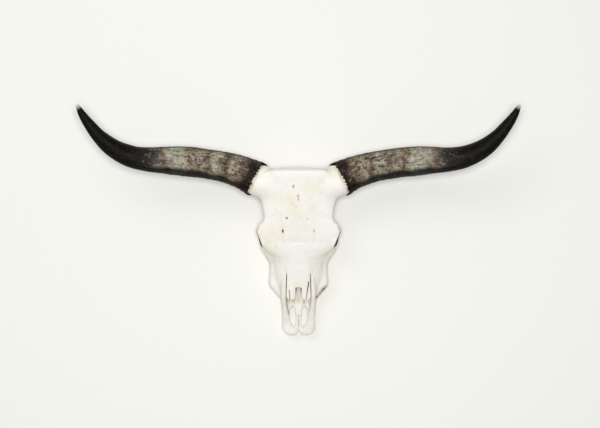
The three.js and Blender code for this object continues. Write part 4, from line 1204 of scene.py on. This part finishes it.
class SKULL_OT_horns(bpy.types.Operator):
    """Builds the two horn sheaths, hollow at the root, with torn rims, growth rings and lengthwise fibres"""

    bl_idname = "skull.horns"
    bl_label = "Horn sheaths"

    def execute(self, context):
        sizes = context.scene.skull_horns
        material = shared_material("weathered_horn", weathered_horn)
        for name, side, seed in (("right", 1, 40), ("left", -1, 70)):
            rings, laid, turn = horn_rings(sizes, seed)
            rings[..., 0] *= side
            corners, quads, triangles = closed_tube(rings)
            # the shift along the third axis gives each horn its own mottles
            values = {"laid": with_ends(laid) + [0, 0, 0.4 * seed * MM], "around": with_ends(turn)}
            piece = mesh_object(f"horn_sheath_{name}", material, to_world(corners), quads, triangles, values)
            finish(piece, "horn", f"horn_{name}")
        return {"FINISHED"}


class SKULL_OT_stage(bpy.types.Operator):
    """Lays the pale floor and sets the soft light and the camera that looks straight down"""

    bl_idname = "skull.stage"
    bl_label = "Stage"

    def execute(self, context):
        scene = context.scene
        n = FLOOR_CORNERS
        edge = np.linspace(-1, 1, n) * FLOOR_REACH
        x, y = (g.ravel() for g in np.meshgrid(edge, edge, indexing="ij"))
        i, j = np.arange(n - 1)[:, None] * n, np.arange(n - 1)[None]
        quads = np.stack([i + j, i + n + j, i + n + 1 + j, i + 1 + j], -1).reshape(-1, 4)
        floor = mesh_object("paper_floor", matt_paper(scene.skull_colours), np.stack([x, y, 0 * x - 0.0005], -1), quads)
        world = bpy.data.worlds.new("studio")
        world.use_nodes = True
        background = world.node_tree.nodes["Background"]
        background.inputs["Color"].default_value = linear(ROOM_COLOUR)
        background.inputs["Strength"].default_value = ROOM_LIGHT
        scene.world = world
        for name, place, size, power in LAMPS:
            lamp = bpy.data.lights.new(name, "AREA")
            lamp.shape, lamp.size, lamp.energy = "DISK", size, power
            light = bpy.data.objects.new(name, lamp)
            light.location = place
            light.rotation_euler = (Vector(LAMP_TARGET) - Vector(place)).to_track_quat("-Z", "Y").to_euler()
            scene.collection.objects.link(light)
        lens = bpy.data.cameras.new("camera")
        lens.lens, lens.sensor_width, lens.clip_end = LENS
        camera = bpy.data.objects.new("camera", lens)
        camera.location = CAMERA_PLACE
        scene.collection.objects.link(camera)
        scene.camera = camera
        scene.view_settings.view_transform = "Standard"
        return {"FINISHED"}


class SKULL_PT_panel(bpy.types.Panel):
    """Lists the steps that build the skull, and its sizes and colours"""

    bl_label = "Longhorn skull"
    bl_idname = "SKULL_PT_panel"
    bl_space_type = "VIEW_3D"
    bl_region_type = "UI"
    bl_category = "Skull"

    def draw(self, context):
        for operator in OPERATORS:
            self.layout.operator(operator.bl_idname)
        for group in GROUPS:
            values = getattr(context.scene, group)
            for key in values.bl_rna.properties.keys():
                if key not in ("rna_type", "name"):
                    self.layout.prop(values, key)


OPERATORS = (SKULL_OT_bones, SKULL_OT_vomer, SKULL_OT_teeth, SKULL_OT_horns, SKULL_OT_stage)
GROUPS = {"skull_sizes": SkullSizes, "skull_teeth": ToothSizes, "skull_horns": HornSizes, "skull_colours": SkullColours}


def register():
    for cls in (*GROUPS.values(), *OPERATORS, SKULL_PT_panel):
        bpy.utils.register_class(cls)
    for key, group in GROUPS.items():
        setattr(bpy.types.Scene, key, bpy.props.PointerProperty(type=group))


def unregister():
    for key in GROUPS:
        delattr(bpy.types.Scene, key)
    for cls in reversed((*GROUPS.values(), *OPERATORS, SKULL_PT_panel)):
        bpy.utils.unregister_class(cls)


def main():
    register()
    bpy.ops.skull.bones()
    bpy.ops.skull.vomer()
    bpy.ops.skull.teeth()
    bpy.ops.skull.horns()
    bpy.ops.skull.stage()


if __name__ == "__main__":
    main()
